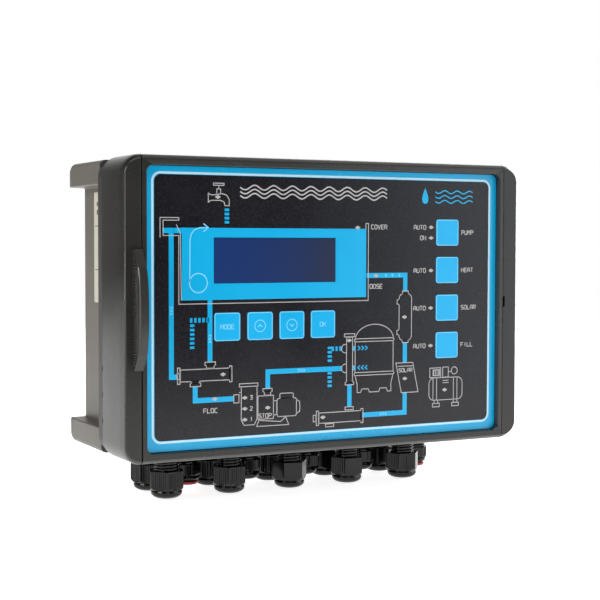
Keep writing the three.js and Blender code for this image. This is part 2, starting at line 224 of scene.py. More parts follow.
def plastic(name, colour, rough, grain_mm=0.35, grain=0.12, vary=0.06, metallic=0.0, coat=0.0, coat_rough=0.1,
            rough_vary=0.06, spec=0.5, wear_and_edge_highlight=0.0, bump_mm=0.02, front_painted_shade=None, fleck=None):
    """Moulded or coated surface: colour drift, spark-eroded grain, roughness drift, paler high edges that are partly
    wear and partly a painted highlight, and, if asked, a painted shade that darkens the front.
    """
    m, nt, bs = mat_new(name)
    N = nt.nodes.new
    L = nt.links.new
    tc = N("ShaderNodeTexCoord")
    big = N("ShaderNodeTexNoise")
    big.inputs["Scale"].default_value = 22.0
    big.inputs["Detail"].default_value = 4.0
    L(tc.outputs["Object"], big.inputs["Vector"])
    fine = N("ShaderNodeTexNoise")
    fine.inputs["Scale"].default_value = 1.0 / (grain_mm * MM)
    fine.inputs["Detail"].default_value = 2.0
    L(tc.outputs["Object"], fine.inputs["Vector"])
    ramp = N("ShaderNodeValToRGB")
    c = colour
    ramp.color_ramp.elements[0].position = 0.3
    ramp.color_ramp.elements[0].color = (c[0] * (1 - vary), c[1] * (1 - vary), c[2] * (1 - vary), 1)
    ramp.color_ramp.elements[1].position = 0.7
    ramp.color_ramp.elements[1].color = (min(1, c[0] * (1 + vary)), min(1, c[1] * (1 + vary)), min(1, c[2] * (1 + vary)), 1)
    mixf = N("ShaderNodeMath")
    mixf.operation = "MULTIPLY_ADD"
    mixf.inputs[1].default_value = 0.35
    L(fine.outputs["Fac"], mixf.inputs[0])
    mb = N("ShaderNodeMath")
    mb.operation = "MULTIPLY"
    mb.inputs[1].default_value = 0.65
    L(big.outputs["Fac"], mb.inputs[0])
    L(mb.outputs[0], mixf.inputs[2])
    L(mixf.outputs[0], ramp.inputs["Fac"])
    col = ramp.outputs["Color"]
    # paler convex edges by pointiness: partly wear, partly a painted highlight along the edges
    if wear_and_edge_highlight > 0:
        geo = N("ShaderNodeNewGeometry")
        wr = N("ShaderNodeValToRGB")
        wr.color_ramp.elements[0].position = 0.52
        wr.color_ramp.elements[0].color = (0, 0, 0, 1)
        wr.color_ramp.elements[1].position = 0.62
        wr.color_ramp.elements[1].color = (wear_and_edge_highlight, wear_and_edge_highlight, wear_and_edge_highlight, 1)
        L(geo.outputs["Pointiness"], wr.inputs["Fac"])
        mx = N("ShaderNodeMix")
        mx.data_type = "RGBA"
        L(wr.outputs["Color"], mx.inputs[0])
        L(col, mx.inputs[6])
        mx.inputs[7].default_value = (min(1, c[0] * 2 + 0.03), min(1, c[1] * 2 + 0.03), min(1, c[2] * 2 + 0.03), 1)
        col = mx.outputs[2]
    if fleck:
        fr = N("ShaderNodeValToRGB")
        fr.color_ramp.elements[0].position = 0.5
        fr.color_ramp.elements[0].color = (0, 0, 0, 1)
        fr.color_ramp.elements[1].position = 0.72
        fr.color_ramp.elements[1].color = (1, 1, 1, 1)
        L(fine.outputs["Fac"], fr.inputs["Fac"])
        mf = N("ShaderNodeMix")
        mf.data_type = "RGBA"
        L(fr.outputs["Color"], mf.inputs[0])
        L(col, mf.inputs[6])
        mf.inputs[7].default_value = fleck
        col = mf.outputs[2]
    # painted shade: the colour darkens towards the front of the part (low Y), standing in for light that falls off from
    # back to front
    if front_painted_shade:
        sep = N("ShaderNodeSeparateXYZ")
        L(tc.outputs["Object"], sep.inputs[0])
        grad = N("ShaderNodeMapRange")
        grad.interpolation_type = "SMOOTHSTEP"
        grad.inputs["From Min"].default_value = -0.0575
        grad.inputs["From Max"].default_value = -0.0535
        L(sep.outputs["Y"], grad.inputs["Value"])
        md = N("ShaderNodeMix")
        md.data_type = "RGBA"
        L(grad.outputs["Result"], md.inputs[0])
        md.inputs[6].default_value = front_painted_shade
        L(col, md.inputs[7])
        col = md.outputs[2]
    L(col, bs.inputs["Base Color"])
    mr = N("ShaderNodeMapRange")
    mr.inputs["From Min"].default_value = 0.3
    mr.inputs["From Max"].default_value = 0.7
    mr.inputs["To Min"].default_value = max(0.02, rough - rough_vary)
    mr.inputs["To Max"].default_value = min(1, rough + rough_vary)
    L(big.outputs["Fac"], mr.inputs["Value"])
    L(mr.outputs["Result"], bs.inputs["Roughness"])
    bp = N("ShaderNodeBump")
    bp.inputs["Strength"].default_value = grain
    bp.inputs["Distance"].default_value = bump_mm * MM
    L(fine.outputs["Fac"], bp.inputs["Height"])
    L(bp.outputs["Normal"], bs.inputs["Normal"])
    bs.inputs["Metallic"].default_value = metallic
    bs.inputs["Specular IOR Level"].default_value = spec
    if coat:
        bs.inputs["Coat Weight"].default_value = coat
        bs.inputs["Coat Roughness"].default_value = coat_rough
    return m


# the edge values lighten convex edges: partly wear, partly a painted highlight along the edges, the grip's included
M_LID = plastic("lid_plastic", srgb(37, 36, 34), 0.26, grain_mm=0.5, grain=0.15, vary=0.07, wear_and_edge_highlight=0.35, spec=0.43)
M_GRIP = plastic("grip_plastic", srgb(34, 33, 31), 0.2, grain_mm=0.5, grain=0.2, vary=0.1, wear_and_edge_highlight=0.3)
# the base is painted darker at its front flange: painted shade
M_BASE = plastic("base_plastic", srgb(100, 96, 88), 0.45, grain_mm=0.45, grain=0.3, vary=0.05, wear_and_edge_highlight=0.12, front_painted_shade=srgb(45, 44, 42))
M_NYLON = plastic("gland_nylon", srgb(10, 8, 6), 0.15, grain_mm=0.6, grain=0.08, vary=0.15, wear_and_edge_highlight=0.3, rough_vary=0.03, spec=0.34)
M_RED = plastic("cap_red", srgb(150, 24, 28), 0.4, grain_mm=0.4, grain=0.1)
M_RUBBER = plastic("gasket_rubber", srgb(34, 34, 34), 0.75, grain_mm=0.3, grain=0.3)
M_STEEL = plastic("steel", (0.58, 0.58, 0.6, 1), 0.26, grain_mm=0.2, grain=0.1, metallic=1.0, vary=0.08)
M_LABEL = plastic("label_paper", srgb(196, 190, 176), 0.55, grain_mm=0.25, grain=0.2, vary=0.04)
M_INK = plastic("label_ink", srgb(90, 88, 84), 0.6, grain_mm=0.3, grain=0.1)
M_BLACK = plastic("print_black", srgb(10, 9, 16), 0.25, grain_mm=0.55, grain=0.5, vary=0.16, fleck=srgb(36, 35, 44), bump_mm=0.02, rough_vary=0.03, spec=0.42)
M_BLUE = plastic("print_blue", srgb(0, 166, 218), 0.25, grain_mm=0.3, grain=0.3, vary=0.03, bump_mm=0.02, rough_vary=0.03)
M_KEY = plastic("key_blue", srgb(0, 168, 224), 0.25, grain_mm=0.3, grain=0.35, vary=0.05, bump_mm=0.02, rough_vary=0.03)
M_WHITE = plastic("print_white", srgb(188, 222, 236), 0.4, grain_mm=0.3, grain=0.3, vary=0.02)
M_SILVER = plastic("print_silver", srgb(176, 172, 172), 0.4, grain_mm=0.3, grain=0.3, vary=0.05)
M_PALE = plastic("print_pale_blue", srgb(118, 205, 238), 0.4, grain_mm=0.3, grain=0.3, vary=0.03)
M_LED = plastic("led_window", srgb(168, 166, 162), 0.25, grain_mm=0.3, grain=0.1, vary=0.1)
M_GREEN = plastic("terminal_green", srgb(52, 130, 68), 0.42, grain_mm=0.4, grain=0.15)
M_RELAY = plastic("relay_case", srgb(36, 52, 118), 0.35, grain_mm=0.4, grain=0.1)
M_DARK = plastic("dark_part", srgb(28, 28, 30), 0.35, grain_mm=0.3, grain=0.1)
M_TAPE = plastic("winding_tape", srgb(196, 160, 52), 0.4, grain_mm=0.3, grain=0.1)
M_RIBBON = plastic("ribbon_grey", srgb(150, 150, 150), 0.5, grain_mm=0.5, grain=0.2)
M_CORE = plastic("core_steel", (0.2, 0.2, 0.21, 1), 0.4, grain_mm=0.3, grain=0.2, metallic=0.9)


def display_material():
    """Dark blue character display: a tone that runs from blue at the left to darker grey-blue at the right, and fine
    sparkle under a satin film.
    """
    m, nt, bs = mat_new("display_blue")
    N, L = nt.nodes.new, nt.links.new
    tc = N("ShaderNodeTexCoord")
    sep = N("ShaderNodeSeparateXYZ")
    L(tc.outputs["Object"], sep.inputs[0])
    noise = N("ShaderNodeTexNoise")
    noise.inputs["Scale"].default_value = 1500.0
    noise.inputs["Detail"].default_value = 3.0
    L(tc.outputs["Object"], noise.inputs["Vector"])
    grad = N("ShaderNodeMapRange")
    grad.inputs["From Min"].default_value = -0.074
    grad.inputs["From Max"].default_value = 0.003
    L(sep.outputs["X"], grad.inputs["Value"])
    mix = N("ShaderNodeMath")
    mix.operation = "MULTIPLY_ADD"
    mix.inputs[1].default_value = 1.9
    mix.inputs[2].default_value = -0.95
    L(noise.outputs["Fac"], mix.inputs[0])
    add = N("ShaderNodeMath")
    add.operation = "ADD"
    L(grad.outputs["Result"], add.inputs[0])
    L(mix.outputs[0], add.inputs[1])
    ramp = N("ShaderNodeValToRGB")
    e = ramp.color_ramp.elements
    e[0].position, e[0].color = 0.0, srgb(6, 44, 104)
    e[1].position, e[1].color = 1.0, srgb(24, 30, 54)
    mid = e.new(0.7)
    mid.color = srgb(12, 38, 84)
    L(add.outputs[0], ramp.inputs["Fac"])
    L(ramp.outputs["Color"], bs.inputs["Base Color"])
    bs.inputs["Roughness"].default_value = 0.26
    bp = N("ShaderNodeBump")
    bp.inputs["Strength"].default_value = 0.3
    bp.inputs["Distance"].default_value = 0.00002
    L(noise.outputs["Fac"], bp.inputs["Height"])
    L(bp.outputs["Normal"], bs.inputs["Normal"])
    return m


def board_material():
    """Green circuit board with darker tracks and tinned pads."""
    m, nt, bs = mat_new("circuit_board")
    N, L = nt.nodes.new, nt.links.new
    tc = N("ShaderNodeTexCoord")
    vor = N("ShaderNodeTexVoronoi")
    vor.distance = "CHEBYCHEV"
    vor.feature = "F1"
    vor.inputs["Scale"].default_value = 160.0
    L(tc.outputs["Object"], vor.inputs["Vector"])
    ramp = N("ShaderNodeValToRGB")
    e = ramp.color_ramp.elements
    e[0].position, e[0].color = 0.08, srgb(186, 180, 160)
    e[1].position, e[1].color = 0.12, srgb(30, 92, 54)
    k = e.new(0.42)
    k.color = srgb(26, 82, 48)
    k2 = e.new(0.46)
    k2.color = srgb(44, 116, 70)
    L(vor.outputs["Distance"], ramp.inputs["Fac"])
    L(ramp.outputs["Color"], bs.inputs["Base Color"])
    bs.inputs["Roughness"].default_value = 0.35
    bp = N("ShaderNodeBump")
    bp.inputs["Strength"].default_value = 0.2
    bp.inputs["Distance"].default_value = 0.00005
    L(vor.outputs["Distance"], bp.inputs["Height"])
    L(bp.outputs["Normal"], bs.inputs["Normal"])
    return m


M_DISPLAY = display_material()
M_BOARD = board_material()

# ---------------------------------------------------------------- case: shared numbers (mm)
HW, HH, CR, FIL = 128.0, 84.0, 10.5, 3.0
LF, LR = -100.0, -64.0
SEAM_L, STRIP_L, STRIP_R = 117.4, 118.1, 117.7
RX, RZ, RR_ = 114.75, 78.3, 4.0
HINGE = (128.5, -63.5)
LATCH = (-119.9, -94.4)


LID_YS = [LR, LR - 0.12, LR - 0.4, -91.0, -94.8, -95.7, -96.6, -97.4, -98.1, -98.6, -99.0, -99.45, -99.55, -99.75, -99.88, -99.95, LF]


def lid_inset(y):
    """How far the lid outline lies inside its full size at y: (at the sides, at top and bottom)."""
    t = y - LF
    rear = max(0.0, 0.4 - (LR - y))
    rear = 0.4 - math.sqrt(max(0.0, 0.16 - rear * rear))
    side = 0.45 * (1 - t / 9.0) if t < 9.0 else 0.0
    for (t0, e0), (t1, e1) in (((0.0, 1.0), (0.12, 0.55)), ((0.12, 0.55), (0.55, 0.12)), ((0.55, 0.12), (1.0, 0.0))):
        if t0 <= t < t1:
            side += e0 + (e1 - e0) * (t - t0) / (t1 - t0)
    tab = [(0.0, 2.5), (0.12, 2.3), (0.25, 2.12), (0.45, 1.93), (1.9, 0.78), (2.6, 0.42), (3.4, 0.17), (4.3, 0.04), (5.2, 0.0)]
    edge = 0.0
    for (t0, e0), (t1, e1) in zip(tab, tab[1:]):
        if t0 <= t <= t1:
            edge = e0 + (e1 - e0) * (t - t0) / (t1 - t0)
    return side + rear, edge + rear


def seam_inset(y, r=0.35):
    t = (LF + r) - y
    if t <= 0:
        return 0.0
    return r - math.sqrt(max(0.0, r * r - min(t, r) ** 2))


def strip_solid(name, side, xs):
    """The outer slice of the lid beyond the seam, closed, with its edges eased. side is 1 right or -1 left."""
    rings = []
    n = 14
    for y in LID_YS:
        dx, dz = lid_inset(y)
        ra, rb = CR - dx, CR - dz
        xm = xs + seam_inset(y)
        a0 = math.acos(max(-1, min(1, (xm - (HW - CR)) / ra)))
        pts = []
        for i in range(n + 1):
            a = a0 * (1 - i / n)
            pts.append((HW - CR + ra * math.cos(a), HH - CR + rb * math.sin(a)))
        for i in range(n + 1):
            a = -a0 * i / n
            pts.append((HW - CR + ra * math.cos(a), -(HH - CR) + rb * math.sin(a)))
        rings.append([(side * x, y, z) for x, z in pts])
    return loft(name, rings)


def channel_cutter(name):
    return prism_y(name, [(LF + 3.0, HW - 3, HH - 3, CR - 3), (LR + 2, HW - 3, HH - 3, CR - 3)], 8)


# ---- lid frame
def lid_frame():
    rings = [[(x, y, z) for x, z in rr(SEAM_L - seam_inset(y), HH - lid_inset(y)[1], 0.2, 2)] for y in LID_YS]
    ob = loft("lid_frame_shell", rings)
    f = 0.45
    sec = [(LF - 2, RX + f, RZ + f, RR_ + f), (LF, RX + f, RZ + f, RR_ + f)]
    for a in (20, 40, 60, 90):
        t = math.radians(a)
        sec.append((LF + f * math.sin(t), RX + f * (1 - math.sin(t)) , RZ + f * (1 - math.sin(t)), RR_ + f * (1 - math.sin(t))))
    sec.append((-95.1, RX, RZ, RR_))
    cutters = [prism_y("c1", sec, 8),
               prism_y("c2", [(-92.6, 111.2, 77.5, 3), (-71.4, 111.2, 77.5, 3)], 4),
               box("c3", -SEAM_L - 1, SEAM_L + 1, -72.4, LR + 1, -HH + 3, HH - 3)]
    for t in (-1, 1):
        pass
    ob = boolean(ob, cutters)
    lcd = frame_lcd
    cut = [box("w", lcd[0] - lcd[2] / 2 - 0.5, lcd[0] + lcd[2] / 2 + 0.5, -96, -91, lcd[1] - lcd[3] / 2 - 0.5, lcd[1] + lcd[3] / 2 + 0.5)]
    for _, x, z in KEYS:
        cut.append(box("p", x - 8.2, x + 8.2, -96, -94.4, z - 8.2, z + 8.2))
        cut.append(box("h", x - 4.6, x + 4.6, -96, -91, z - 4.6, z + 4.6))
    ob = boolean(ob, cut)
    adds = [rod("post", "y", x, z, 3, -93.1, -84.3, 24) for x in (-76, 91) for z in (-50, 51.5)]
    for t in (-1, 1):
        c = t * 50
        arm = loft("arm", [[(x, y, z) for x, y in ((116.6, -84), (119.5, -84), (124.2, -70.5), (125.2, -68), (128.5, -66.6),
                   (128.5, -64), (124.5, -64.3), (119.5, -72.9), (116.6, -72.9))] for z in (c - 4, c + 4)])
        arm = boolean(arm, [rod("k", "z", *HINGE, 3.09, c - 4, c + 4, 36)], "UNION")
        adds.append(boolean(arm, [rod("k", "z", *HINGE, 1.8, c - 5, c + 5, 32)]))
        lug = box("lug", LATCH[0], -117, LATCH[1] - 2, LATCH[1] + 2, t * 57 - 3, t * 57 + 3)
        lug = boolean(lug, [rod("k", "z", *LATCH, 2.2, t * 57 - 3, t * 57 + 3, 28)], "UNION")
        adds.append(boolean(lug, [rod("k", "z", *LATCH, 1.3, t * 57 - 4, t * 57 + 4, 24)]))
    ob = boolean(ob, adds, "UNION")
    return ob


KEYS = [("key_mode", -65.98, -10.54), ("key_up", -45.76, -10.54), ("key_down", -25.68, -10.54), ("key_ok", -5.6, -10.54),
        ("key_pump", 79.25, 42.53), ("key_heat", 79.25, 20.0), ("key_solar", 79.25, -2.73), ("key_fill", 79.25, -25.3)]
frame_lcd = (-35.75, 26.4, 76.3, 25.0)

place(dress(lid_frame(), M_LID), "lid", ["lid_frame"])

# ---- right strip with the pry slot
ob = strip_solid("right_strip_shell", 1, STRIP_R)
cut = [channel_cutter("c"), box("s", STRIP_R - 1, STRIP_R + 1.3, -101, -95, -2.8, 3.7)]
for t in (-1, 1):
    cut.append(box("n", 123.5, 129, -69.6, -60, t * 50 - 11.5, t * 50 + 11.5))
place(dress(boolean(ob, cut), M_LID, 24), "lid", ["right_strip"])


# ---- latch strip with the bow handle
def smooth_path(pts, per=4):
    """Catmull-Rom through points, open."""
    out = []
    for i in range(len(pts) - 1):
        p0, p1, p2, p3 = pts[max(0, i - 1)], pts[i], pts[i + 1], pts[min(len(pts) - 1, i + 2)]
        for k in range(per):
            t = k / per
            out.append(tuple(0.5 * ((2 * b) + (c - a) * t + (2 * a - 5 * b + 4 * c - d) * t * t + (-a + 3 * b - 3 * c + d) * t ** 3)
                             for a, b, c, d in zip(p0, p1, p2, p3)))
    out.append(pts[-1])
    return out


def inset(pts, d):
    """Convex outline moved inwards by d."""
    n = len(pts)
    area = sum(pts[i][0] * pts[(i + 1) % n][1] - pts[(i + 1) % n][0] * pts[i][1] for i in range(n))
    s = 1 if area > 0 else -1
    out = []
    for i in range(n):
        a, b, c = pts[i - 1], pts[i], pts[(i + 1) % n]
        u = Vector((b[0] - a[0], b[1] - a[1])).normalized()
        v = Vector((c[0] - b[0], c[1] - b[1])).normalized()
        n1, n2 = Vector((-u.y, u.x)) * s, Vector((-v.y, v.x)) * s
        m = n1 + n2
        if m.length < 1e-6:
            m = n1
        m.normalize()
        k = d / max(0.35, m.dot(n1))
        out.append((b[0] + m.x * k, b[1] + m.y * k))
    return out


def bow():
    arc = smooth_path([(-108.6, 23.5), (-110.5, 17.0), (-111.45, 10), (-111.85, 2), (-111.8, -7), (-111.05, -15.5), (-109.6, -23.4)], 4)
    pts = [(-99, 33.2), (-100.6, 33.2), (-101.8, 32.9), (-102.8, 32.1)] + arc + [(-103.4, -31.8), (-102.6, -32.6), (-101.4, -33), (-99, -33)]
    x0, x1, f = -123.3, -118.3, 0.5
    rings = []
    for dx, d in ((0.0, f), (f, 0.0)):
        rings.append([(x0 + dx, y, z) for y, z in inset(pts, d)])
    for i in range(5):
        t = math.radians(90 * i / 4)
        rings.append([(x1 - f * (1 - math.cos(t)), y, z) for y, z in inset(pts, f * (1 - math.cos(t)))])
    return loft("bow", rings)


ob = strip_solid("latch_strip_shell", -1, STRIP_L)
cut = [channel_cutter("c")]
for z in (34, 48.5, 63):
    for t in (-1, 1):
        cut.append(rod("n", "x", LR + 0.5, t * z, 2.0, -130, -124, 20))
ob = boolean(ob, cut)
adds = []
for t in (-1, 1):
    kn = box("kn", LATCH[0] - 2, LATCH[0] + 1.7, LF + 2.5, LATCH[1], t * 65 - 3.5, t * 65 + 3.5)
    kn = boolean(kn, [rod("k", "z", *LATCH, 2.2, t * 65 - 3.5, t * 65 + 3.5, 28)], "UNION")
    adds.append(boolean(kn, [rod("k", "z", *LATCH, 1.3, t * 65 - 4.5, t * 65 + 4.5, 24)]))
    adds.append(box("hook", -125.5, -124, -69, -66.8, t * 30 - 4, t * 30 + 4))
place(dress(boolean(ob, adds, "UNION"), M_LID, 24), "latch", ["latch_strip"])

place(dress(bow(), M_GRIP, 24), "latch")
ribs = []
z = -29.0
while z < 29.1:
    top = -106.9 if abs(z) < 23 else -106.9 + (abs(z) - 23) * 0.55
    rings = []
    for y in (-100.05, -100.5, top + 0.4, top):
        h = 0.8 if top + 0.3 < y < -100.3 else 0.05
        rings.append([(-123.0, y, z - 0.5), (-123.3 - h, y, z - 0.26), (-123.3 - h, y, z + 0.26), (-123.0, y, z + 0.5)])
    ribs.append(loft("rib", rings))
    z += 1.45
ribs.append(soft_box("rail", -123.7, -123.0, -108.15, -107.55, -22.5, 22.0, 0.15, 1))
place(dress(join("handle_ribs", ribs), M_GRIP), "latch")


# ---- base shell
def base_shell():
    BW, BH, BR, RR3 = 126.0, 82.6, 3.0, 5.0
    sec = [(-56.4, BW, BH, BR), (-RR3, BW, BH, BR)]
    for i in range(1, 15):
        t = math.radians(90 * i / 14)
        y = -RR3 + RR3 * math.sin(t)
        e = max(0.0, y + 1.2)
        sec.append((y, BW - (1.2 - math.sqrt(max(0, 1.44 - e * e))), BH - RR3 + RR3 * math.cos(t), BR))
    ob = prism_y("base_shell_body", sec, 12)
    fl = [(-63, 127.5 - 0.6, 82.4, 9.9)]
    for i in range(1, 4):
        t = math.radians(90 * i / 3)
        fl.append((-63 + 0.6 * (1 - math.cos(t)), 127.5 - 0.6 * (1 - math.sin(t)), 83 - 0.6 * (1 - math.sin(t)), 10.5 - 0.6 * (1 - math.sin(t))))
    for i in range(4):
        t = math.radians(90 * i / 3)
        fl.append((-56.6 + 0.6 * math.sin(t), 127.5 - 0.6 * (1 - math.cos(t)), 83 - 0.6 * (1 - math.cos(t)), 10.5 - 0.6 * (1 - math.cos(t))))
    tongue = prism_y("t", [(-71, 116.7, 80.2, 3.7), (-70.7, 117, 80.5, 4), (-62, 117, 80.5, 4)], 6)
    ob = boolean(ob, [prism_y("f", fl, 12), tongue], "UNION")
    cav = [(-62, 113.4, 79.5, 2), (-5, 113.4, 79.5, 2)]
    for i in range(1, 6):
        t = math.radians(90 * i / 5)
        cav.append((-5 + 2 * math.sin(t), 113.4, 77.5 + 2 * math.cos(t), 2))
    cut = [prism_y("c", cav, 4), prism_y("c", [(-72, 113.4, 78, 2), (-61.9, 113.4, 78, 2)], 4)]
    ob = boolean(ob, cut)
    # side recesses, edges eased
    cut = []
    for q in (-1, 1):
        rings = []
        for x, g in ((116.4, -0.8), (116.7, -0.25), (117.3, 0.0), (125.2, 0.15), (125.6, 0.28), (125.9, 0.6), (126.0, 0.9), (131, 0.9)):
            y0 = -56 + (0 if g > -0.1 else -g * 0.6)
            rings.append([(q * x, y0, -68.5 - g), (q * x, 4, -68.5 - g), (q * x, 4, 68.5 + g), (q * x, y0, 68.5 + g)])
        cut.append(loft("r", rings))
        for t in (-1, 1):
            cut.append(rod("h", "y", q * 121.7, t * 75.5, 2.3, -66, 2, 32))
            cut.append(rod("h", "y", q * 121.7, t * 75.5, 4.0, -66, -58, 32))
    ob = boolean(ob, cut)
    cut = [rod("g", "z", x, y, 7.6, -86, -78.5, 40) for x in GX for y in (-51, -22)] + [rod("g", "z", x, -33, 7.6, -86, -78.5, 40) for x in PX]
    ob = boolean(ob, cut)
    adds = [rod("s", "y", q * 94, z, 4, -8.1, -2.5, 28) for q in (-1, 1) for z in (-36, 58)]
    for t in (-1, 1):
        adds.append(soft_box("keeper", -122.6, -120, -66.4, -62.5, t * 30 - 4, t * 30 + 4, 0.3, 2))
    ob = boolean(ob, adds, "UNION")
    cut = [rod("k", "z", *HINGE, 3.7, t * 50 - 4.4, t * 50 + 4.4, 40) for t in (-1, 1)]
    ob = boolean(ob, cut)
    adds, holes = [], []
    for t in (-1, 1):
        for a, b in ((t * 50 - 10, t * 50 - 4.4), (t * 50 + 4.4, t * 50 + 10)):
            web = loft("w", [[(x, y, z) for x, y in ((125.6, -62.6), (126.4, -57.2), (131.0, -62.2), (130.5, -64.4), (126, -64.5))] for z in (a, b)])
            adds.append(boolean(web, [rod("k", "z", *HINGE, 3.09, a, b, 36)], "UNION"))
            holes.append(rod("k", "z", *HINGE, 1.8, a - 0.2, b + 0.2, 28))
    ob = boolean(ob, adds, "UNION")
    return boolean(ob, holes)


GX = (-84.5, -44.5, -4.5, 35.5, 75.5)
PX = (-64.5, -24.5, 15.5, 55.5, 95.5)
place(dress(base_shell(), M_BASE), "base", ["base_shell"])

# side label: blank, with two thin rules
lab = soft_box("side_label", -116.8, -116.36, -48, -18, 1, 65.5, 0.12, 2)
place(dress(lab, M_LABEL), "base", ["rating_label"])
rules = [soft_box("r", -116.86, -116.75, -46, -20 - k, z, z + h, 0.03, 1)
         for z, h, k in ((57.5, 2.2, 3), (52.5, 2.6, 3), (45.5, 0.5, 0), (41, 0.7, 6), (38, 0.7, 9), (35, 0.7, 5), (32, 0.7, 8), (29, 0.7, 6), (20, 0.5, 0), (14, 0.7, 7), (11, 0.7, 5), (8, 0.7, 9))]
place(dress(join("label_rules", rules), M_INK), "base")

# ---------------------------------------------------------------- printed panel
PXMM = 229.5 / 1600.0


def P(u, v):
    """Panel drawing units to X, Z in mm."""
    return (u / 1600.0 - 0.58) * 229.5, (0.42 - v / 1600.0) * 229.5


class Sheet:
    """Collects flat printed shapes of one ink as closed thin solids."""

    def __init__(self, top, base=-95.9):
        self.v, self.f, self.top, self.base = [], [], top, base

    def fill(self, pts, raw=False):
        q = pts if raw else [P(*p) for p in pts]
        n, k = len(q), len(self.v)
        self.v += [(x, self.top, z) for x, z in q] + [(x, self.base, z) for x, z in q]
        self.f.append(tuple(range(k, k + n)))
        self.f.append(tuple(range(k + 2 * n - 1, k + n - 1, -1)))
        for i in range(n):
            j = (i + 1) % n
            self.f.append((k + i, k + n + i, k + n + j, k + j))

    def stroke(self, pts, w, closed=False, raw=False):
        """A line of width w (drawing units, or mm when raw)."""
        q = [Vector(p) if raw else Vector(P(*p)) for p in pts]
        h = (w if raw else w * PXMM) / 2
        n, k = len(q), len(self.v)
        for i, p in enumerate(q):
            a = q[i - 1] if (closed or i > 0) else None
            b = q[(i + 1) % n] if (closed or i < n - 1) else None
            d1 = (p - a).normalized() if a is not None else None
            d2 = (b - p).normalized() if b is not None else None
            if d1 is None:
                d1 = d2
            if d2 is None:
                d2 = d1
            t = d1 + d2
            t = t.normalized() if t.length > 1e-6 else d1
            nrm = Vector((-t.y, t.x))
            m = h / max(0.4, nrm.dot(Vector((-d1.y, d1.x))))
            for s, y in ((1, self.top), (-1, self.top), (-1, self.base), (1, self.base)):
                self.v.append((p.x + nrm.x * m * s, y, p.y + nrm.y * m * s))
        segs = n if closed else n - 1
        for i in range(segs):
            a, b = k + 4 * i, k + 4 * ((i + 1) % n)
            for c in range(4):
                d = (c + 1) % 4
                self.f.append((a + c, a + d, b + d, b + c))
        if not closed:
            self.f.append((k, k + 3, k + 2, k + 1))
            e = k + 4 * (n - 1)
            self.f.append((e, e + 1, e + 2, e + 3))

    def ring(self, cx, cy, rx, ry, w, n=40):
        self.stroke([(cx + rx * math.cos(2 * math.pi * i / n), cy + ry * math.sin(2 * math.pi * i / n)) for i in range(n)], w, True)

    def disc(self, cx, cy, rx, ry, n=28):
        self.fill([(cx + rx * math.cos(2 * math.pi * i / n), cy + ry * math.sin(2 * math.pi * i / n)) for i in range(n)])

    def rect(self, x0, y0, x1, y1):
        self.fill([(x0, y0), (x1, y0), (x1, y1), (x0, y1)])

    def frame(self, x0, y0, x1, y1, w, r=0.0, n=6):
        if r <= 0:
            self.stroke([(x0, y0), (x1, y0), (x1, y1), (x0, y1)], w, True)
            return
        pts = rr((x1 - x0) / 2, (y1 - y0) / 2, r, n, (x0 + x1) / 2, (y0 + y1) / 2)
        self.stroke(pts, w, True)

    def text(self, word, x, y, size, w=3.0, align="left", gap=1.5):
        s = size / 6.0
        width = len(word) * 4 * s + (len(word) - 1) * gap * s
        x0 = x if align == "left" else (x - width if align == "right" else x - width / 2)
        for ch in word:
            for line in GLYPHS.get(ch, []):
                self.stroke([(x0 + a * s, y + size / 2 - b * s) for a, b in line], w)
            x0 += (4 + gap) * s

    def build(self, name, mat, body, nodes=()):
        ob = new_object(name, self.v, self.f)
        bm = bmesh.new()
        bm.from_mesh(ob.data)
        bmesh.ops.recalc_face_normals(bm, faces=bm.faces)
        bm.to_mesh(ob.data)
        bm.free()
        me = ob.data
        me.materials.append(mat)
        return place(ob, body, nodes)


GLYPHS = {
    "A": [[(0, 0), (0, 4.4), (1.4, 6), (2.6, 6), (4, 4.4), (4, 0)], [(0, 2.4), (4, 2.4)]],
    "C": [[(4, 6), (1, 6), (0, 5), (0, 1), (1, 0), (4, 0)]],
    "D": [[(0, 0), (0, 6), (3, 6), (4, 5), (4, 1), (3, 0), (0, 0)]],
    "E": [[(4, 6), (0, 6), (0, 0), (4, 0)], [(0, 3), (3.6, 3)]],
    "F": [[(4, 6), (0, 6), (0, 0)], [(0, 3), (3.4, 3)]],
    "H": [[(0, 0), (0, 6)], [(4, 0), (4, 6)], [(0, 3), (4, 3)]],
    "I": [[(2, 0), (2, 6)]],
    "K": [[(0, 0), (0, 6)], [(4, 6), (1, 3), (4, 0)], [(0, 3), (1, 3)]],
    "L": [[(0, 6), (0, 0), (4, 0)]],
    "M": [[(0, 0), (0, 6), (2, 3), (4, 6), (4, 0)]],
    "N": [[(0, 0), (0, 6), (4, 0), (4, 6)]],
    "O": [[(1, 0), (0, 1), (0, 5), (1, 6), (3, 6), (4, 5), (4, 1), (3, 0), (1, 0)]],
    "P": [[(0, 0), (0, 6), (3, 6), (4, 5), (4, 3.8), (3, 2.8), (0, 2.8)]],
    "R": [[(0, 0), (0, 6), (3, 6), (4, 5), (4, 3.8), (3, 2.8), (0, 2.8)], [(2, 2.8), (4, 0)]],
    "S": [[(4, 6), (1, 6), (0, 5), (0, 4), (1, 3), (3, 3), (4, 2), (4, 1), (3, 0), (0, 0)]],
    "T": [[(0, 6), (4, 6)], [(2, 6), (2, 0)]],
    "U": [[(0, 6), (0, 1), (1, 0), (3, 0), (4, 1), (4, 6)]],
    "V": [[(0, 6), (2, 0), (4, 6)]],
    "1": [[(1, 5), (2.4, 6), (2.4, 0)]],
    "2": [[(0, 5), (1, 6), (3, 6), (4, 5), (4, 4), (0, 0), (4, 0)]],
    "3": [[(0, 6), (4, 6), (2, 3.6), (3.4, 3.2), (4, 2), (4, 1), (3, 0), (0, 0)]],
}

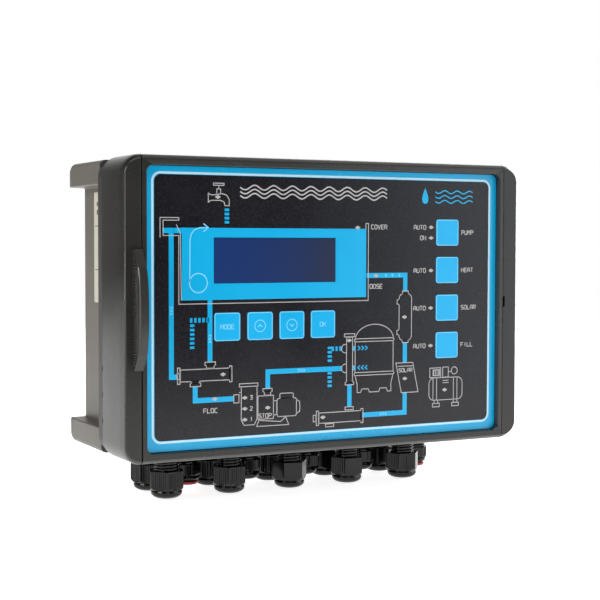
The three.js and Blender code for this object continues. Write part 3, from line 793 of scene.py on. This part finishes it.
# overlay plate: blue, with windows for the keys and the display
ob = prism_y("panel_film", [(-96, RX - 0.3, RZ - 0.3, RR_ - 0.3), (-95.2, RX - 0.3, RZ - 0.3, RR_ - 0.3)], 8)
cut = [box("w", frame_lcd[0] - frame_lcd[2] / 2 - 0.25, frame_lcd[0] + frame_lcd[2] / 2 + 0.25, -97, -94, frame_lcd[1] - frame_lcd[3] / 2 - 0.25, frame_lcd[1] + frame_lcd[3] / 2 + 0.25)]
for _, x, z in KEYS:
    cut.append(prism_y("k", [(-97, 8.15, 8.15, 1.75), (-94, 8.15, 8.15, 1.75)], 6, x, z))
place(dress(boolean(ob, cut), M_BLUE, weighted=False), "lid", ["membrane_overlay"])

# black field, cut out round the keys
bx0, bz0 = P(166, 160)
bx1, bz1 = P(1688, 1175)
cx, cz, hw, hh = (bx0 + bx1) / 2, (bz0 + bz1) / 2, (bx1 - bx0) / 2, (bz0 - bz1) / 2
ob = prism_y("panel_field", [(-96.03, hw, hh, 4.0), (-95.95, hw, hh, 4.0)], 10, cx, cz)
cut = [box("w", P(278, 0)[0], P(1088, 0)[0], -97, -95, P(0, 640)[1], P(0, 362)[1])]
for _, x, z in KEYS:
    cut.append(prism_y("k", [(-97, 8.15, 8.15, 1.75), (-94, 8.15, 8.15, 1.75)], 6, x, z))
place(dress(boolean(ob, cut), M_BLACK, weighted=False), "lid")

white = Sheet(-96.03)
x0, z0 = P(159, 154)
x1, z1 = P(1692.5, 1180.5)
white.stroke(rr((x1 - x0) / 2, (z0 - z1) / 2, 4.6, 12, (x0 + x1) / 2, (z0 + z1) / 2), 1.25, True, raw=True)
white.build("panel_white_line", M_WHITE, "lid")

# pipes and water
blue = Sheet(-96.045)
PW = 20
blue.stroke([(200, 373), (235, 373), (235, 932), (262, 932)], PW)
blue.stroke([(246, 373), (279, 373)], PW)
blue.stroke([(395, 638), (395, 880)], PW)
blue.stroke([(1090, 552), (1275, 552), (1275, 620)], PW)
blue.stroke([(1275, 832), (1275, 915)], PW)
blue.stroke([(1275, 1040), (1275, 1123), (1073, 1123)], PW)
blue.stroke([(974, 928), (643, 928), (643, 994)], PW)
blue.stroke([(1012, 998), (1012, 1086)], PW)
blue.stroke([(333, 973), (333, 1027), (495, 1027)], PW)
for i in range(4):
    blue.rect(457, 287 + 16 * i, 476, 297 + 16 * i)
for i in range(5):
    blue.rect(312 + 17 * i, 708, 322 + 17 * i, 726)
for i in range(6):
    blue.rect(312, 732 + 17 * i, 330, 742 + 17 * i)
for i in range(10):
    if i not in (4, 5):
        blue.rect(911, 838 + 17 * i, 930, 848 + 17 * i)
for i in range(3):
    blue.rect(930 + 17 * i, 838, 940 + 17 * i, 856)
for cy in (848, 928):
    for i in range(3):
        s = -1 if cy == 928 else 1
        x = 1056 + 17 * i
        blue.stroke([(x - 5 * s, cy - 9), (x + 5 * s, cy), (x - 5 * s, cy + 9)], 5)
    blue.rect(1025, cy - 10, 1038, cy + 10)
blue.build("panel_pipes", M_BLUE, "lid")

art = Sheet(-96.06)
W1 = 3.2
# pool edge
art.stroke([(190, 400), (190, 324), (266, 324), (266, 334), (202, 334), (202, 392), (266, 392), (266, 654), (1098, 654), (1098, 340), (1086, 340), (1086, 362)], W1)
art.stroke([(256, 350), (272, 384), (276, 640)], W1)
# flow arrow in the pool
art_w = Sheet(-96.06)
art_w.ring(347, 574, 37, 37, 4.5)
art_w.stroke([(311, 566), (312, 410), (318, 385), (332, 369), (352, 362), (384, 361)], 4.5)
art_w.stroke([(368, 346), (388, 361), (368, 377)], 4.5)
# tap
art.stroke([(388, 228), (388, 264), (396, 258), (404, 256), (440, 256), (454, 262), (458, 276), (476, 276), (476, 252), (466, 236), (448, 230), (404, 236), (396, 234), (388, 228)], W1)
art.stroke([(424, 230), (424, 212), (440, 212), (440, 230)], W1)
art.stroke([(432, 212), (432, 198)], W1)
art.frame(410, 190, 454, 198, W1)
# header: plain wave band in place of a title
for k, (oy, ww) in enumerate(((-12, 5.5), (4, 5.5), (20, 5.5))):
    art.stroke([(523 + 5.52 * i, 216 + oy + 9 * math.sin(i * 2 * math.pi / 15)) for i in range(121)], ww)
# drop and waves in place of a mark
art_b = Sheet(-96.06)
drop = [(1370 + 22 * math.sin(t) * (0.5 - 0.5 * math.cos(t)) ** 0.8, 222 - 34 * math.cos(t) * 1.0) for t in [2 * math.pi * i / 30 for i in range(30)]]
art_b.fill(drop)
for oy in (206, 226, 246):
    art_b.stroke([(1420 + 6.2 * i, oy + 6 * math.sin(i * 2 * math.pi / 10)) for i in range(31)], 4.5)
art_b.build("panel_drop", M_BLUE, "lid")
# horizontal cells
for (a, b, c, d) in ((272, 906, 478, 952), (872, 1104, 1066, 1146)):
    art.frame(a, b, c, d, W1)
    for e in (a - 8, c + 4):
        art.frame(e - 4, b - 8, e + 6, d + 8, W1)
art.frame(374, 880, 418, 892, W1)
art.frame(380, 892, 412, 904, W1)
art.frame(312, 960, 356, 972, W1)
art.frame(318, 952, 350, 960, W1)
art.frame(992, 1086, 1030, 1098, W1)
art.frame(902, 1150, 940, 1162, W1)
art.frame(258, 918, 268, 942, W1)
art.frame(846, 1112, 858, 1138, W1)
# pump and motor
art.frame(520, 970, 600, 982, W1)
art.stroke([(528, 982), (528, 1112), (540, 1134), (584, 1134), (596, 1112), (596, 982)], W1)
art.frame(496, 1012, 518, 1044, W1)
art.stroke([(518, 1004), (528, 1004)], W1)
art.frame(600, 1022, 668, 1114, W1)
art.frame(622, 994, 662, 1006, W1)
art.frame(628, 1006, 656, 1020, W1)
art.stroke([(668, 1044), (682, 1044), (682, 1100), (668, 1100)], W1)
art.frame(684, 1036, 770, 1108, W1, 8)
art.frame(696, 1016, 756, 1036, W1, 6)
art.stroke([(770, 1044), (784, 1052), (786, 1072), (784, 1092), (770, 1100)], W1)
art.stroke([(594, 1142), (604, 1118), (700, 1128), (722, 1110), (736, 1142), (594, 1142)], W1)
# filter tank
tank = [(1040, 816)] + [(1129 - 91 * math.cos(math.radians(a)), 816 - 64 * math.sin(math.radians(a))) for a in range(10, 180, 10)] + [(1218, 816)]
art.stroke(tank, W1)
art.frame(1034, 810, 1222, 822, W1, 5)
art.stroke([(1038, 822), (1038, 948)], W1)
art.stroke([(1218, 822), (1218, 948)], W1)
art.frame(1034, 948, 1222, 960, W1, 5)
art.stroke([(1038, 960), (1048, 996), (1048, 1030), (1064, 1030), (1070, 1016), (1100, 1016), (1106, 1030), (1150, 1030), (1156, 1016), (1186, 1016), (1192, 1030), (1208, 1030), (1208, 996), (1218, 960)], W1)
# valve
art.frame(998, 802, 1026, 986, W1)
art.frame(988, 788, 1036, 800, W1)
art.frame(992, 986, 1032, 996, W1)
for cy in (848, 928):
    art.stroke([(996, cy - 18), (984, cy - 16), (976, cy - 8), (976, cy + 8), (984, cy + 16), (996, cy + 18)], W1)
# heater vessel
art.frame(1246, 630, 1306, 822, W1, 18)
art.frame(1262, 618, 1290, 630, W1)
art.frame(1262, 822, 1290, 832, W1)
art.frame(1236, 654, 1246, 672, W1)
art.frame(1236, 780, 1246, 798, W1)
# solar panel
art.stroke([(1232, 916), (1314, 916), (1340, 1040), (1258, 1040)], W1, True)
art.stroke([(1240, 930), (1318, 930)], W1)
# compressor
art.frame(1394, 986, 1560, 1080, W1, 24)
art.frame(1398, 944, 1452, 984, W1)
art.frame(1414, 952, 1446, 976, W1)
for i in range(4):
    art.stroke([(1418 + 8 * i, 954), (1418 + 8 * i, 974)], 3)
art.frame(1462, 942, 1490, 984, W1)
art.ring(1520, 958, 15, 15, W1)
art.stroke([(1490, 962), (1505, 962)], W1)
for x in (1414, 1432, 1516, 1534):
    art.stroke([(x, 986), (x, 1080)], 3)
for x in (1412, 1508):
    art.frame(x, 1094, x + 34, 1108, W1)
    art.stroke([(x + 8, 1080), (x + 8, 1094)], W1)
    art.stroke([(x + 26, 1080), (x + 26, 1094)], W1)
art.stroke([(1462, 998), (1492, 998)], 3)
art.stroke([(1462, 1008), (1492, 1008)], 3)
# words and figures
for word, y in (("AUTO", 354), ("ON", 398), ("AUTO", 534), ("AUTO", 691), ("AUTO", 849)):
    art.text(word, 1374, y, 17, 3.2, "right")
for word, y in (("PUMP", 375), ("HEAT", 533), ("SOLAR", 691), ("FILL", 849)):
    art.text(word, 1552, y, 17, 3.2)
art.text("COVER", 1112, 354, 17, 3.2)
art.text("DOSE", 1106, 597, 17, 3.2)
art.text("FLOC", 368, 1069, 17, 3.2)
art.text("STOP", 604, 1101, 16, 3.2)
art.text("SOLAR", 1246, 947, 15, 3.0)
for word, y in (("3", 1026), ("2", 1069), ("1", 1112)):
    art.text(word, 566, y, 15, 3.0)
# flow ticks on the pipes
for cx, cy, sx, sy in ((235, 678, 0, 1), (395, 790, 0, -1), (792, 928, 1, 0), (1172, 1123, -1, 0)):
    for i in (-1, 0, 1):
        x, y = cx + i * 12 * abs(sx), cy + i * 12 * abs(sy)
        art_w.stroke([(x - 4 * sx - 6 * abs(sy), y - 4 * sy - 6 * abs(sx)), (x + 4 * sx, y + 4 * sy), (x - 4 * sx + 6 * abs(sy), y - 4 * sy + 6 * abs(sx))], 2.6)
for i in range(3):
    x = 1182 + 32 * i
    art_w.stroke([(x + 4, 546), (x - 4, 552), (x + 4, 558)], 2.8)
art.build("panel_line_art", M_SILVER, "lid")
art_w.build("panel_flow_marks", M_PALE, "lid")
led = Sheet(-96.08)
led_dot = Sheet(-96.1)
for x, y in ((1048, 357), (1135, 553), (1272, 726), (1275, 982), (1472, 1038), (890, 1122), (450, 930), (415, 1024), (543, 1026), (543, 1069),
             (543, 1112), (643, 1070), (1010, 815), (428, 243), (1400, 354), (1400, 398), (1400, 534), (1400, 691), (1400, 849)):
    led.disc(x, y, 11.5, 5.5)
    led_dot.disc(x, y, 4.6, 7.6, 20)
led.build("led_windows", M_LED, "lid")
led_dot.build("led_lenses", M_SILVER, "lid")


# keys: caps with rounded front edges on plungers, with a pale outline and a sign
def key(name, x, z):
    sec = []
    f = 0.3
    sec.append((-95.25, 7.9, 7.9, 1.5))
    for i in range(5):
        t = math.radians(90 * i / 4)
        sec.append((-96.2 + f - f * math.sin(t), 7.9 - f * (1 - math.cos(t)), 7.9 - f * (1 - math.cos(t)), 1.5 - f * (1 - math.cos(t)) * 0.9))
    cap = prism_y("cap", sec, 6, x, z)
    stem = soft_box("stem", x - 4, x + 4, -95.35, -84.6, z - 4, z + 4, 0.3, 2)
    ob = join(name + "_cap", [cap, stem])
    place(dress(ob, M_KEY), name + "_body", [name])
    s = Sheet(-96.27, -96.1)
    s.stroke(rr(7.55, 7.55, 1.35, 6, x, z), 0.5, True, raw=True)
    u, v = (x / 229.5 + 0.58) * 1600, (0.42 - z / 229.5) * 1600
    if name == "key_mode":
        s.text("MODE", u, v, 17, 3.2, "center")
    elif name == "key_ok":
        s.text("OK", u, v, 17, 3.2, "center")
    elif name in ("key_up", "key_down"):
        s.ring(u, v, 23, 23, 3.2)
        d = 1 if name == "key_up" else -1
        s.stroke([(u - 9, v + 4 * d), (u, v - 5 * d), (u + 9, v + 4 * d)], 3.6)
    s.build(name + "_print", M_PALE, name + "_body")


for k in KEYS:
    key(*k)

# display
win = soft_box("display_film", frame_lcd[0] - frame_lcd[2] / 2, frame_lcd[0] + frame_lcd[2] / 2, -96, -95.2,
               frame_lcd[1] - frame_lcd[3] / 2, frame_lcd[1] + frame_lcd[3] / 2, 0.12, 2)
place(dress(win, M_DISPLAY), "lid", ["display_window"])

# ---------------------------------------------------------------- cable glands
def polar_ring(fn, z, n):
    out = []
    for i in range(n):
        a = 2 * math.pi * i / n
        r = fn(a)
        out.append((r * math.cos(a), r * math.sin(a), z))
    return out


def hex_radius(phi, flat, corner, grow=0.0, ribs=(), depth=0.0):
    """Hexagon of half width flat with eased corners; the sides in ribs carry fine flutes."""
    side = int(((phi + math.pi / 6) % (2 * math.pi)) // (math.pi / 3)) % 6
    loc = ((phi + math.pi / 6) % (math.pi / 3)) - math.pi / 6
    r = min((flat + grow) / math.cos(loc), corner + grow)
    if side in ribs and depth:
        t = math.tan(loc) * flat
        if abs(t) < 4.9:
            r -= depth * (0.5 - 0.5 * math.cos(2 * math.pi * (t + 4.9) / 1.4))
    return r


def nut_rings(flat, corner, ribs, dome, n, low=-107.0, bottom=-112.0, top=-96.0):
    """Outside of a gland nut, from the top face down over the dome to its mouth."""
    h = lambda p, g=0.0, d=0.0, lim=99.0: min(hex_radius(p, flat, corner, g, ribs, d), lim)
    out = [polar_ring(lambda p: h(p, -0.4), top, n), polar_ring(lambda p: h(p, -0.12), top - 0.08, n), polar_ring(lambda p: h(p, 0, 0.2), top - 0.3, n),
           polar_ring(lambda p: h(p, 0, 0.42), top - 0.8, n), polar_ring(lambda p: h(p, 0, 0.42, corner), low + 1.7, n),
           polar_ring(lambda p: h(p, 0, 0.4, corner - 0.25), low + 1.2, n), polar_ring(lambda p: h(p, 0, 0.35, corner - 0.6), low + 0.7, n),
           polar_ring(lambda p: h(p, 0, 0.25, corner - 1.0), low + 0.3, n), polar_ring(lambda p: h(p, 0, 0.1, flat + 0.05), low + 0.08, n),
           polar_ring(lambda p: dome - 0.1, low + 0.02, n), polar_ring(lambda p: dome - 0.35, low, n)]
    d = bottom - low
    for k, r in ((0.05, -0.35), (0.12, -0.3), (0.2, -0.08), (0.34, 0.0), (0.5, -0.12), (0.6, -0.35), (0.7, -0.75), (0.8, -1.35), (0.9, -2.15), (0.96, -2.9), (0.99, -3.5), (1.0, -4.0)):
        out.append(polar_ring(lambda p, r=r: dome + r, low + d * k, n))
    return out


def nut_mesh(ribs):
    n = 288
    rings = [polar_ring(lambda p: 7.6, -100.5, n), polar_ring(lambda p: 7.6, -96.4, n), polar_ring(lambda p: 7.85, -96.0, n)]
    rings += nut_rings(9.5, 10.8, ribs, 9.2, n)
    for r, z in ((4.75, -111.85), (4.62, -111.4), (4.6, -110.6), (4.6, -101.0), (5.6, -100.5)):
        rings.append(polar_ring(lambda p, r=r: r, z, n))
    return loft("nut", rings, closed=True)


def thread_rings(r0, z0, z1, n, pitch=1.75, depth=0.95):
    out = []
    z = z0
    while z <= z1:
        def f(p, z=z):
            u = ((z / pitch) - p / (2 * math.pi)) % 1.0
            t = abs(2 * u - 1)
            t = min(1.0, max(0.0, (t - 0.1) / 0.45))
            t = t * t * (3 - 2 * t)
            return r0 - depth * (1 - t)
        out.append(polar_ring(f, z, n))
        z += pitch / 8
    return out


def body_mesh():
    n = 72
    rings = [polar_ring(lambda p: 5.0, -99.0, n), polar_ring(lambda p: 6.2, -99.0, n)]
    rings += thread_rings(7.25, -98.8, -88.6, n)
    rings.append(polar_ring(lambda p: 7.2, -88.5, n))
    for g, z in ((-0.5, -88.5), (-0.12, -88.3), (0, -87.9), (0, -83.6), (-0.15, -83.25), (-0.5, -83.1)):
        rings.append(polar_ring(lambda p, g=g: hex_radius(p, 9.5, 10.7, g), z, n))
    rings.append(polar_ring(lambda p: 7.2, -83.1, n))
    rings += thread_rings(7.25, -82.9, -71.6, n, 1.5, 0.7)
    rings.append(polar_ring(lambda p: 6.4, -71.0, n))
    rings.append(polar_ring(lambda p: 5.0, -71.0, n))
    return loft("gbody", rings, closed=True)


def plug_mesh(name, x, y, end, turn):
    """Blanking plug: thread, fluted hexagon and a closed dome."""
    n = 216
    rings = [polar_ring(lambda p: 0.02, -75.0, n), polar_ring(lambda p: 6.8, -75.0, n), polar_ring(lambda p: 7.2, -75.5, n), polar_ring(lambda p: 7.2, -83.1, n),
             polar_ring(lambda p: 8.4, -83.1, n), polar_ring(lambda p: 8.6, -83.3, n), polar_ring(lambda p: 8.6, -88.3, n), polar_ring(lambda p: 8.4, -88.5, n)]
    rings += thread_rings(7.25, -95.9, -88.6, n)[::-1]
    rings += nut_rings(8.0, 8.6, (0, 2, 4), 7.7, n, low=-103.4, bottom=end)
    rings.append(polar_ring(lambda p: 0.02, end, n))
    ob = loft(name, rings)
    ob.data.transform(Matrix.Translation((x * MM, y * MM, 0)) @ Matrix.Rotation(math.radians(turn), 4, "Z"))
    return ob


def seal_mesh():
    prof = [(4.5, -103.0), (4.5, -110.0), (4.2, -110.5), (3.5, -110.7), (3.1, -110.4), (3.0, -109.6), (3.0, -104.0), (3.5, -103.0)]
    return lathe("seal", prof, 48, True)


def locknut_mesh():
    N = 72
    def ring(fn, z):
        return [(fn(2 * math.pi * i / N) * math.cos(2 * math.pi * i / N), fn(2 * math.pi * i / N) * math.sin(2 * math.pi * i / N), z) for i in range(N)]

    def hexr(phi, grow=0.0):
        loc = ((phi + math.pi / 6) % (math.pi / 3)) - math.pi / 6
        return min((9.3 + grow) / math.cos(loc), 10.3 + grow)
    return loft("locknut", [ring(lambda p: 7.35, -79.35), ring(lambda p: hexr(p, -0.2), -79.35), ring(lambda p: hexr(p), -79.1),
                            ring(lambda p: hexr(p), -76.4), ring(lambda p: hexr(p, -0.6), -76.0), ring(lambda p: 7.35, -76.0)], closed=True)


NUTS = [nut_mesh((0, 1, 3, 4)), nut_mesh((0, 2, 3, 5)), nut_mesh((0, 1))]
body_src, seal_src, lock_src = body_mesh(), seal_mesh(), locknut_mesh()
oring_src = lathe("oring", [(8.35 + 0.26 * math.cos(a), -82.85 + 0.24 * math.sin(a)) for a in [2 * math.pi * i / 10 for i in range(10)]], 48, True)
for o, m in [(k, M_NYLON) for k in NUTS] + [(body_src, M_NYLON), (seal_src, M_RUBBER), (lock_src, M_NYLON), (oring_src, M_RUBBER)]:
    dress(o, m, 28)


def copy_of(src, name, x, y, turn=0.0):
    me = src.data.copy()
    me.transform(Matrix.Translation((x * MM, y * MM, 0)) @ Matrix.Rotation(math.radians(turn), 4, "Z"))
    ob = bpy.data.objects.new(name, me)
    COLL.objects.link(ob)
    w = ob.modifiers.new("wn", "WEIGHTED_NORMAL")
    w.keep_sharp = True
    return ob


TURNS = {"front": ((0, 42), (0, 36), (2, 18), (1, 28), (0, 20)), "rear": ((0, 10), (1, 44), (0, 70), (1, 18), (0, 50))}
for row, y in (("front", -51), ("rear", -22)):
    for i, x in enumerate(GX):
        kind, t = TURNS[row][i]
        place(copy_of(body_src, f"gland_{row}_{i + 1}_body", x, y), "base", [f"gland_body_{row}_{i + 1}"])
        place(copy_of(NUTS[kind], f"gland_{row}_{i + 1}_nut", x, y, t), "base", [f"gland_nut_{row}_{i + 1}"])
        place(copy_of(seal_src, f"gland_{row}_{i + 1}_seal", x, y), "base")
        place(copy_of(lock_src, f"gland_{row}_{i + 1}_locknut", x, y, t * 0.7), "base")
        place(copy_of(oring_src, f"gland_{row}_{i + 1}_oring", x, y), "base")
for o in (*NUTS, body_src, seal_src, lock_src, oring_src):
    bpy.data.objects.remove(o)

for i, x in enumerate(PX):
    capped = i in (0, 4)
    end = -106.4 if capped else -108.2
    place(dress(plug_mesh(f"plug_{i + 1}", x, -33, end, 11 + 17 * i), M_NYLON, 28), "base", [f"blank_plug_{i + 1}"])
    if capped:
        prof = [(0, -108.4), (5.4, -108.4), (6.1, -108.25), (6.5, -107.8), (6.6, -107.2), (6.6, -106.7), (6.4, -106.5), (0, -106.5)]
        place(dress(lathe(f"plug_end_{i + 1}", prof, 56, x=x, y=-33), M_RED), "base", [f"plug_cap_{i + 1}"])

# ---------------------------------------------------------------- small metal parts, seal and boards
for n in ("latch_pin", "hinge_pin_lower", "hinge_pin_upper"):
    lo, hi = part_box(n)
    c, r = (lo + hi) / 2 / MM, (hi.x - lo.x) / 2 / MM
    z0, z1 = lo.z / MM, hi.z / MM
    prof = [(0, z0), (r - 0.25, z0), (r, z0 + 0.25), (r, z1 - 0.25), (r - 0.25, z1), (0, z1)]
    place(dress(lathe(n + "_rod", prof, 32, x=c.x, y=c.y), M_STEEL), "base" if n.startswith("hinge") else "lid", [n])

# torsion spring on the latch pin
turns, wire = 7, 0.36
rings = []
steps = turns * 28
for i in range(steps + 1):
    a = 2 * math.pi * i / 28
    z = 40.4 + 5.2 * i / steps
    c = Vector((LATCH[0] + 1.72 * math.cos(a), LATCH[1] + 1.72 * math.sin(a), z))
    rad = Vector((math.cos(a), math.sin(a), 0))
    rings.append([tuple(c + (rad * math.cos(b) + Vector((0, 0, 1)) * math.sin(b)) * wire) for b in [2 * math.pi * k / 8 for k in range(8)]])
place(dress(loft("latch_spring_coil", rings), M_STEEL), "lid", ["latch_spring"])

# lid seal: a soft bead
sec = []
for i in range(12):
    a = 2 * math.pi * i / 12
    sec.append((1.75 * math.cos(a), -71.8 + 0.5 * math.sin(a)))
rings = [[(x, y, z) for x, z in rr(115.45 + d, 79.2 + d, 3 + d * 0.5, 8)] for d, y in sec]
place(dress(loft("lid_seal", rings, closed=True), M_RUBBER), "lid", ["lid_gasket"])

for n, mat, bev in (("display_module", M_DARK, 0.4), ("display_board", M_BOARD, 0.15), ("main_board", M_BOARD, 0.15), ("transformer", M_CORE, 0.6),
                    ("relay_1", M_RELAY, 0.5), ("relay_2", M_RELAY, 0.5), ("relay_3", M_RELAY, 0.5), ("relay_4", M_RELAY, 0.5),
                    ("terminal_block_left", M_GREEN, 0.3), ("terminal_block_right", M_GREEN, 0.3), ("fuse_holder", M_DARK, 0.5), ("capacitor", M_DARK, 0.5)):
    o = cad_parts[n]
    o.data.materials.clear()
    o.data.materials.append(mat)
    w = o.modifiers.new("weld", "WELD")
    w.merge_threshold = 0.00001
    b = o.modifiers.new("bevel", "BEVEL")
    b.width = bev * MM
    b.segments = 3
    b.limit_method = "ANGLE"
    b.angle_limit = math.radians(50)

# board details
parts = []
for q in (-1, 1):
    for z in (-36, 58):
        parts.append(lathe("s", [(0, -11.9), (1.6, -11.9), (2.9, -11.2), (3.0, -10.4), (3.0, -9.82), (0, -9.82)], 24, x=q * 94, y=z, axis="y"))
place(dress(join("board_screws", parts), M_STEEL), "base")
parts = []
for x0 in (-96, 4):
    for i in range(9):
        parts.append(lathe("s", [(0, -24.6), (1.9, -24.6), (2.2, -24.4), (2.2, -23.9), (0, -23.9)], 20, x=x0 + 6 + 10 * i, y=-31.5, axis="y"))
place(dress(join("terminal_screws", parts), M_STEEL), "base")
parts = [soft_box("i", -20, 12, -12.4, -9.75, 14, 24, 0.25, 2), soft_box("i", -26, -8, -12.0, -9.75, 34, 46, 0.25, 2), soft_box("i", 84, 98, -14, -9.75, -10, 8, 0.3, 2)]
parts += [soft_box("i", -40 + 9 * i, -36 + 9 * i, -12.2, -9.75, 54, 60, 0.4, 2) for i in range(7)]
parts += [lathe("i", [(0, -22), (3.2, -22), (3.8, -21.4), (3.8, -9.75), (0, -9.75)], 28, x=52 + 11 * i, y=22, axis="y") for i in range(3)]
place(dress(join("board_parts", parts), M_DARK), "base")
coil = soft_box("transformer_winding", -84, -52, -38.6, -11, 5, 57, 1.2, 3)
coil2 = soft_box("tape", -80, -56, -42.6, -37, 20, 42, 0.8, 3)
place(dress(join("transformer_tape", [coil, coil2]), M_TAPE), "base")
parts = [soft_box("b", -84.2, 12.7, -85.6, -84.1, 6.95, 45.85, 0.3, 2)]
parts += [soft_box("sw", x - 3, x + 3, -84.55 + 0.0 + 0.5, -83.9, z - 3, z + 3, 0.05, 1) for _, x, z in KEYS]
parts += [soft_box("c", 84, 96, -82.5, -76, -6, 6, 0.4, 2), soft_box("c", -60, -30, -82.5, -80, -20, -8, 0.3, 2), soft_box("c", 0, 14, -82.5, -80.4, 10, 24, 0.3, 2)]
parts += [soft_box("c", -10 + 8 * i, -7 + 8 * i, -82.5, -81.2, -40, -34, 0.2, 2) for i in range(8)]
place(dress(join("display_board_parts", parts), M_DARK), "lid")

# flat cable between the boards, 197 mm long, folded three times so that the lid can open
pts = smooth_path([(90.5, -14), (90.5, -20), (86, -26), (58, -29), (53, -33), (58, -37), (100, -41), (105, -45), (100, -49),
                   (66, -53), (62, -57), (67, -61), (86, -64), (90, -70), (90, -76.2)], 6)
rings = []
for i, (x, y) in enumerate(pts):
    a = pts[max(0, i - 1)]
    b = pts[min(len(pts) - 1, i + 1)]
    d = Vector((b[0] - a[0], b[1] - a[1])).normalized()
    nx, ny = -d.y * 0.45, d.x * 0.45
    lane = [(-5.5 + 1.1 * k) for k in range(11)]
    up = [(x + nx * (1.0 if k % 2 else 0.55), y + ny * (1.0 if k % 2 else 0.55), z) for k, z in enumerate(lane)]
    dn = [(x - nx * (1.0 if k % 2 else 0.55), y - ny * (1.0 if k % 2 else 0.55), z) for k, z in enumerate(lane)]
    rings.append(up + dn[::-1])
rib = dress(loft("ribbon_cable", rings), M_RIBBON, weighted=False)
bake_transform(rib)

# ---------------------------------------------------------------- camera, stage, light
AZ, EL, ROLL = math.radians(-27.153), math.radians(2.478), math.radians(0.14)
back = Vector((math.sin(AZ) * math.cos(EL), -math.cos(AZ) * math.cos(EL), math.sin(EL)))
right = Vector((math.cos(AZ), math.sin(AZ), 0))
up = back.cross(right)
r2 = right * math.cos(ROLL) + up * math.sin(ROLL)
u2 = up * math.cos(ROLL) - right * math.sin(ROLL)
cam = bpy.data.cameras.new("camera")
cam.lens = 83.0
cam.sensor_width = 36.0
cam.clip_start = 0.01
camo = bpy.data.objects.new("camera", cam)
COLL.objects.link(camo)
camo.matrix_world = Matrix(((r2.x, u2.x, back.x, -0.3809), (r2.y, u2.y, back.y, -0.7987), (r2.z, u2.z, back.z, 0.0378), (0, 0, 0, 1)))
bpy.context.scene.camera = camo

floor = new_object("floor", [(-1300, -620, -113.5), (1300, -620, -113.5), (1300, 1500, -113.5), (-1300, 1500, -113.5)], [(0, 1, 2, 3)])
fm, nt, bs = mat_new("floor_white")
bs.inputs["Base Color"].default_value = (0.8, 0.8, 0.8, 1)
bs.inputs["Roughness"].default_value = 0.9
bs.inputs["Emission Color"].default_value = (1, 1, 1, 1)
bs.inputs["Emission Strength"].default_value = 0.86
floor.data.materials.append(fm)

world = bpy.data.worlds.new("world")
bpy.context.scene.world = world
world.use_nodes = True
wt = world.node_tree
wt.nodes.clear()
wo = wt.nodes.new("ShaderNodeOutputWorld")
bg = wt.nodes.new("ShaderNodeBackground")
tcw = wt.nodes.new("ShaderNodeTexCoord")
sw = wt.nodes.new("ShaderNodeSeparateXYZ")
wt.links.new(tcw.outputs["Generated"], sw.inputs[0])
wr = wt.nodes.new("ShaderNodeMapRange")
wr.inputs["From Min"].default_value = 0.1
wr.inputs["From Max"].default_value = 0.75
wr.inputs["To Min"].default_value = 0.07
wr.inputs["To Max"].default_value = 1.0
wx = wt.nodes.new("ShaderNodeMath")
wx.operation = "MULTIPLY_ADD"
wx.inputs[1].default_value = 1.0
wt.links.new(sw.outputs["X"], wx.inputs[0])
wy = wt.nodes.new("ShaderNodeMath")
wy.operation = "MULTIPLY"
wy.inputs[1].default_value = 0.5
wt.links.new(sw.outputs["Y"], wy.inputs[0])
wt.links.new(wy.outputs[0], wx.inputs[2])
wt.links.new(wx.outputs[0], wr.inputs["Value"])
lp = wt.nodes.new("ShaderNodeLightPath")
mw = wt.nodes.new("ShaderNodeMix")
wt.links.new(lp.outputs["Is Camera Ray"], mw.inputs[0])
wt.links.new(wr.outputs["Result"], mw.inputs[2])
mw.inputs[3].default_value = 1.0
bg.inputs["Color"].default_value = (1, 1, 1, 1)
wt.links.new(mw.outputs[0], bg.inputs["Strength"])
wt.links.new(bg.outputs[0], wo.inputs[0])


def area(name, loc, target, size, power, size_y=None):
    l = bpy.data.lights.new(name, "AREA")
    l.energy = power
    l.shape = "RECTANGLE"
    l.size = size
    l.size_y = size_y or size
    o = bpy.data.objects.new(name, l)
    COLL.objects.link(o)
    o.location = loc
    d = Vector(target) - Vector(loc)
    o.rotation_euler = d.to_track_quat("-Z", "Y").to_euler()
    return o


area("key_left", (-1.7, -0.35, 0.7), (0, -0.05, 0), 0.6, 9)
area("top", (-0.2, -0.9, 1.5), (0, -0.05, 0), 1.0, 11)
area("glint", (-0.35, -1.6, 0.45), (0, -0.05, -0.02), 0.12, 1.9)
sheen = area("right_sheen", (1.25, -1.2, 0.15), (0, -0.08, 0), 1.0, 4.8)
sheen.data.color = (0.88, 0.95, 1.0)
area("edge_right", (1.25, 0.6, 0.1), (0.1, -0.1, 0), 0.3, 12, 1.3)
area("edge_left", (-1.33, -0.68, 0.0), (0, -0.08, 0), 0.16, 5, 1.3)
area("low_front", (-0.66, -1.45, -0.07), (0, -0.05, -0.09), 0.05, 0.9)
area("low_right", (1.5, -0.45, -0.07), (0, -0.05, -0.09), 0.06, 0.9)
area("low_back", (-1.25, 0.95, -0.07), (0, -0.05, -0.09), 0.06, 0.5)
area("over", (0.68, 1.13, 0.75), (0, -0.05, 0.05), 0.9, 2.2, 0.25)
area("rim_right", (1.4, -0.66, 0.1), (0.1, -0.1, 0), 0.06, 4, 1.3)

bpy.context.scene.view_settings.view_transform = "Standard"
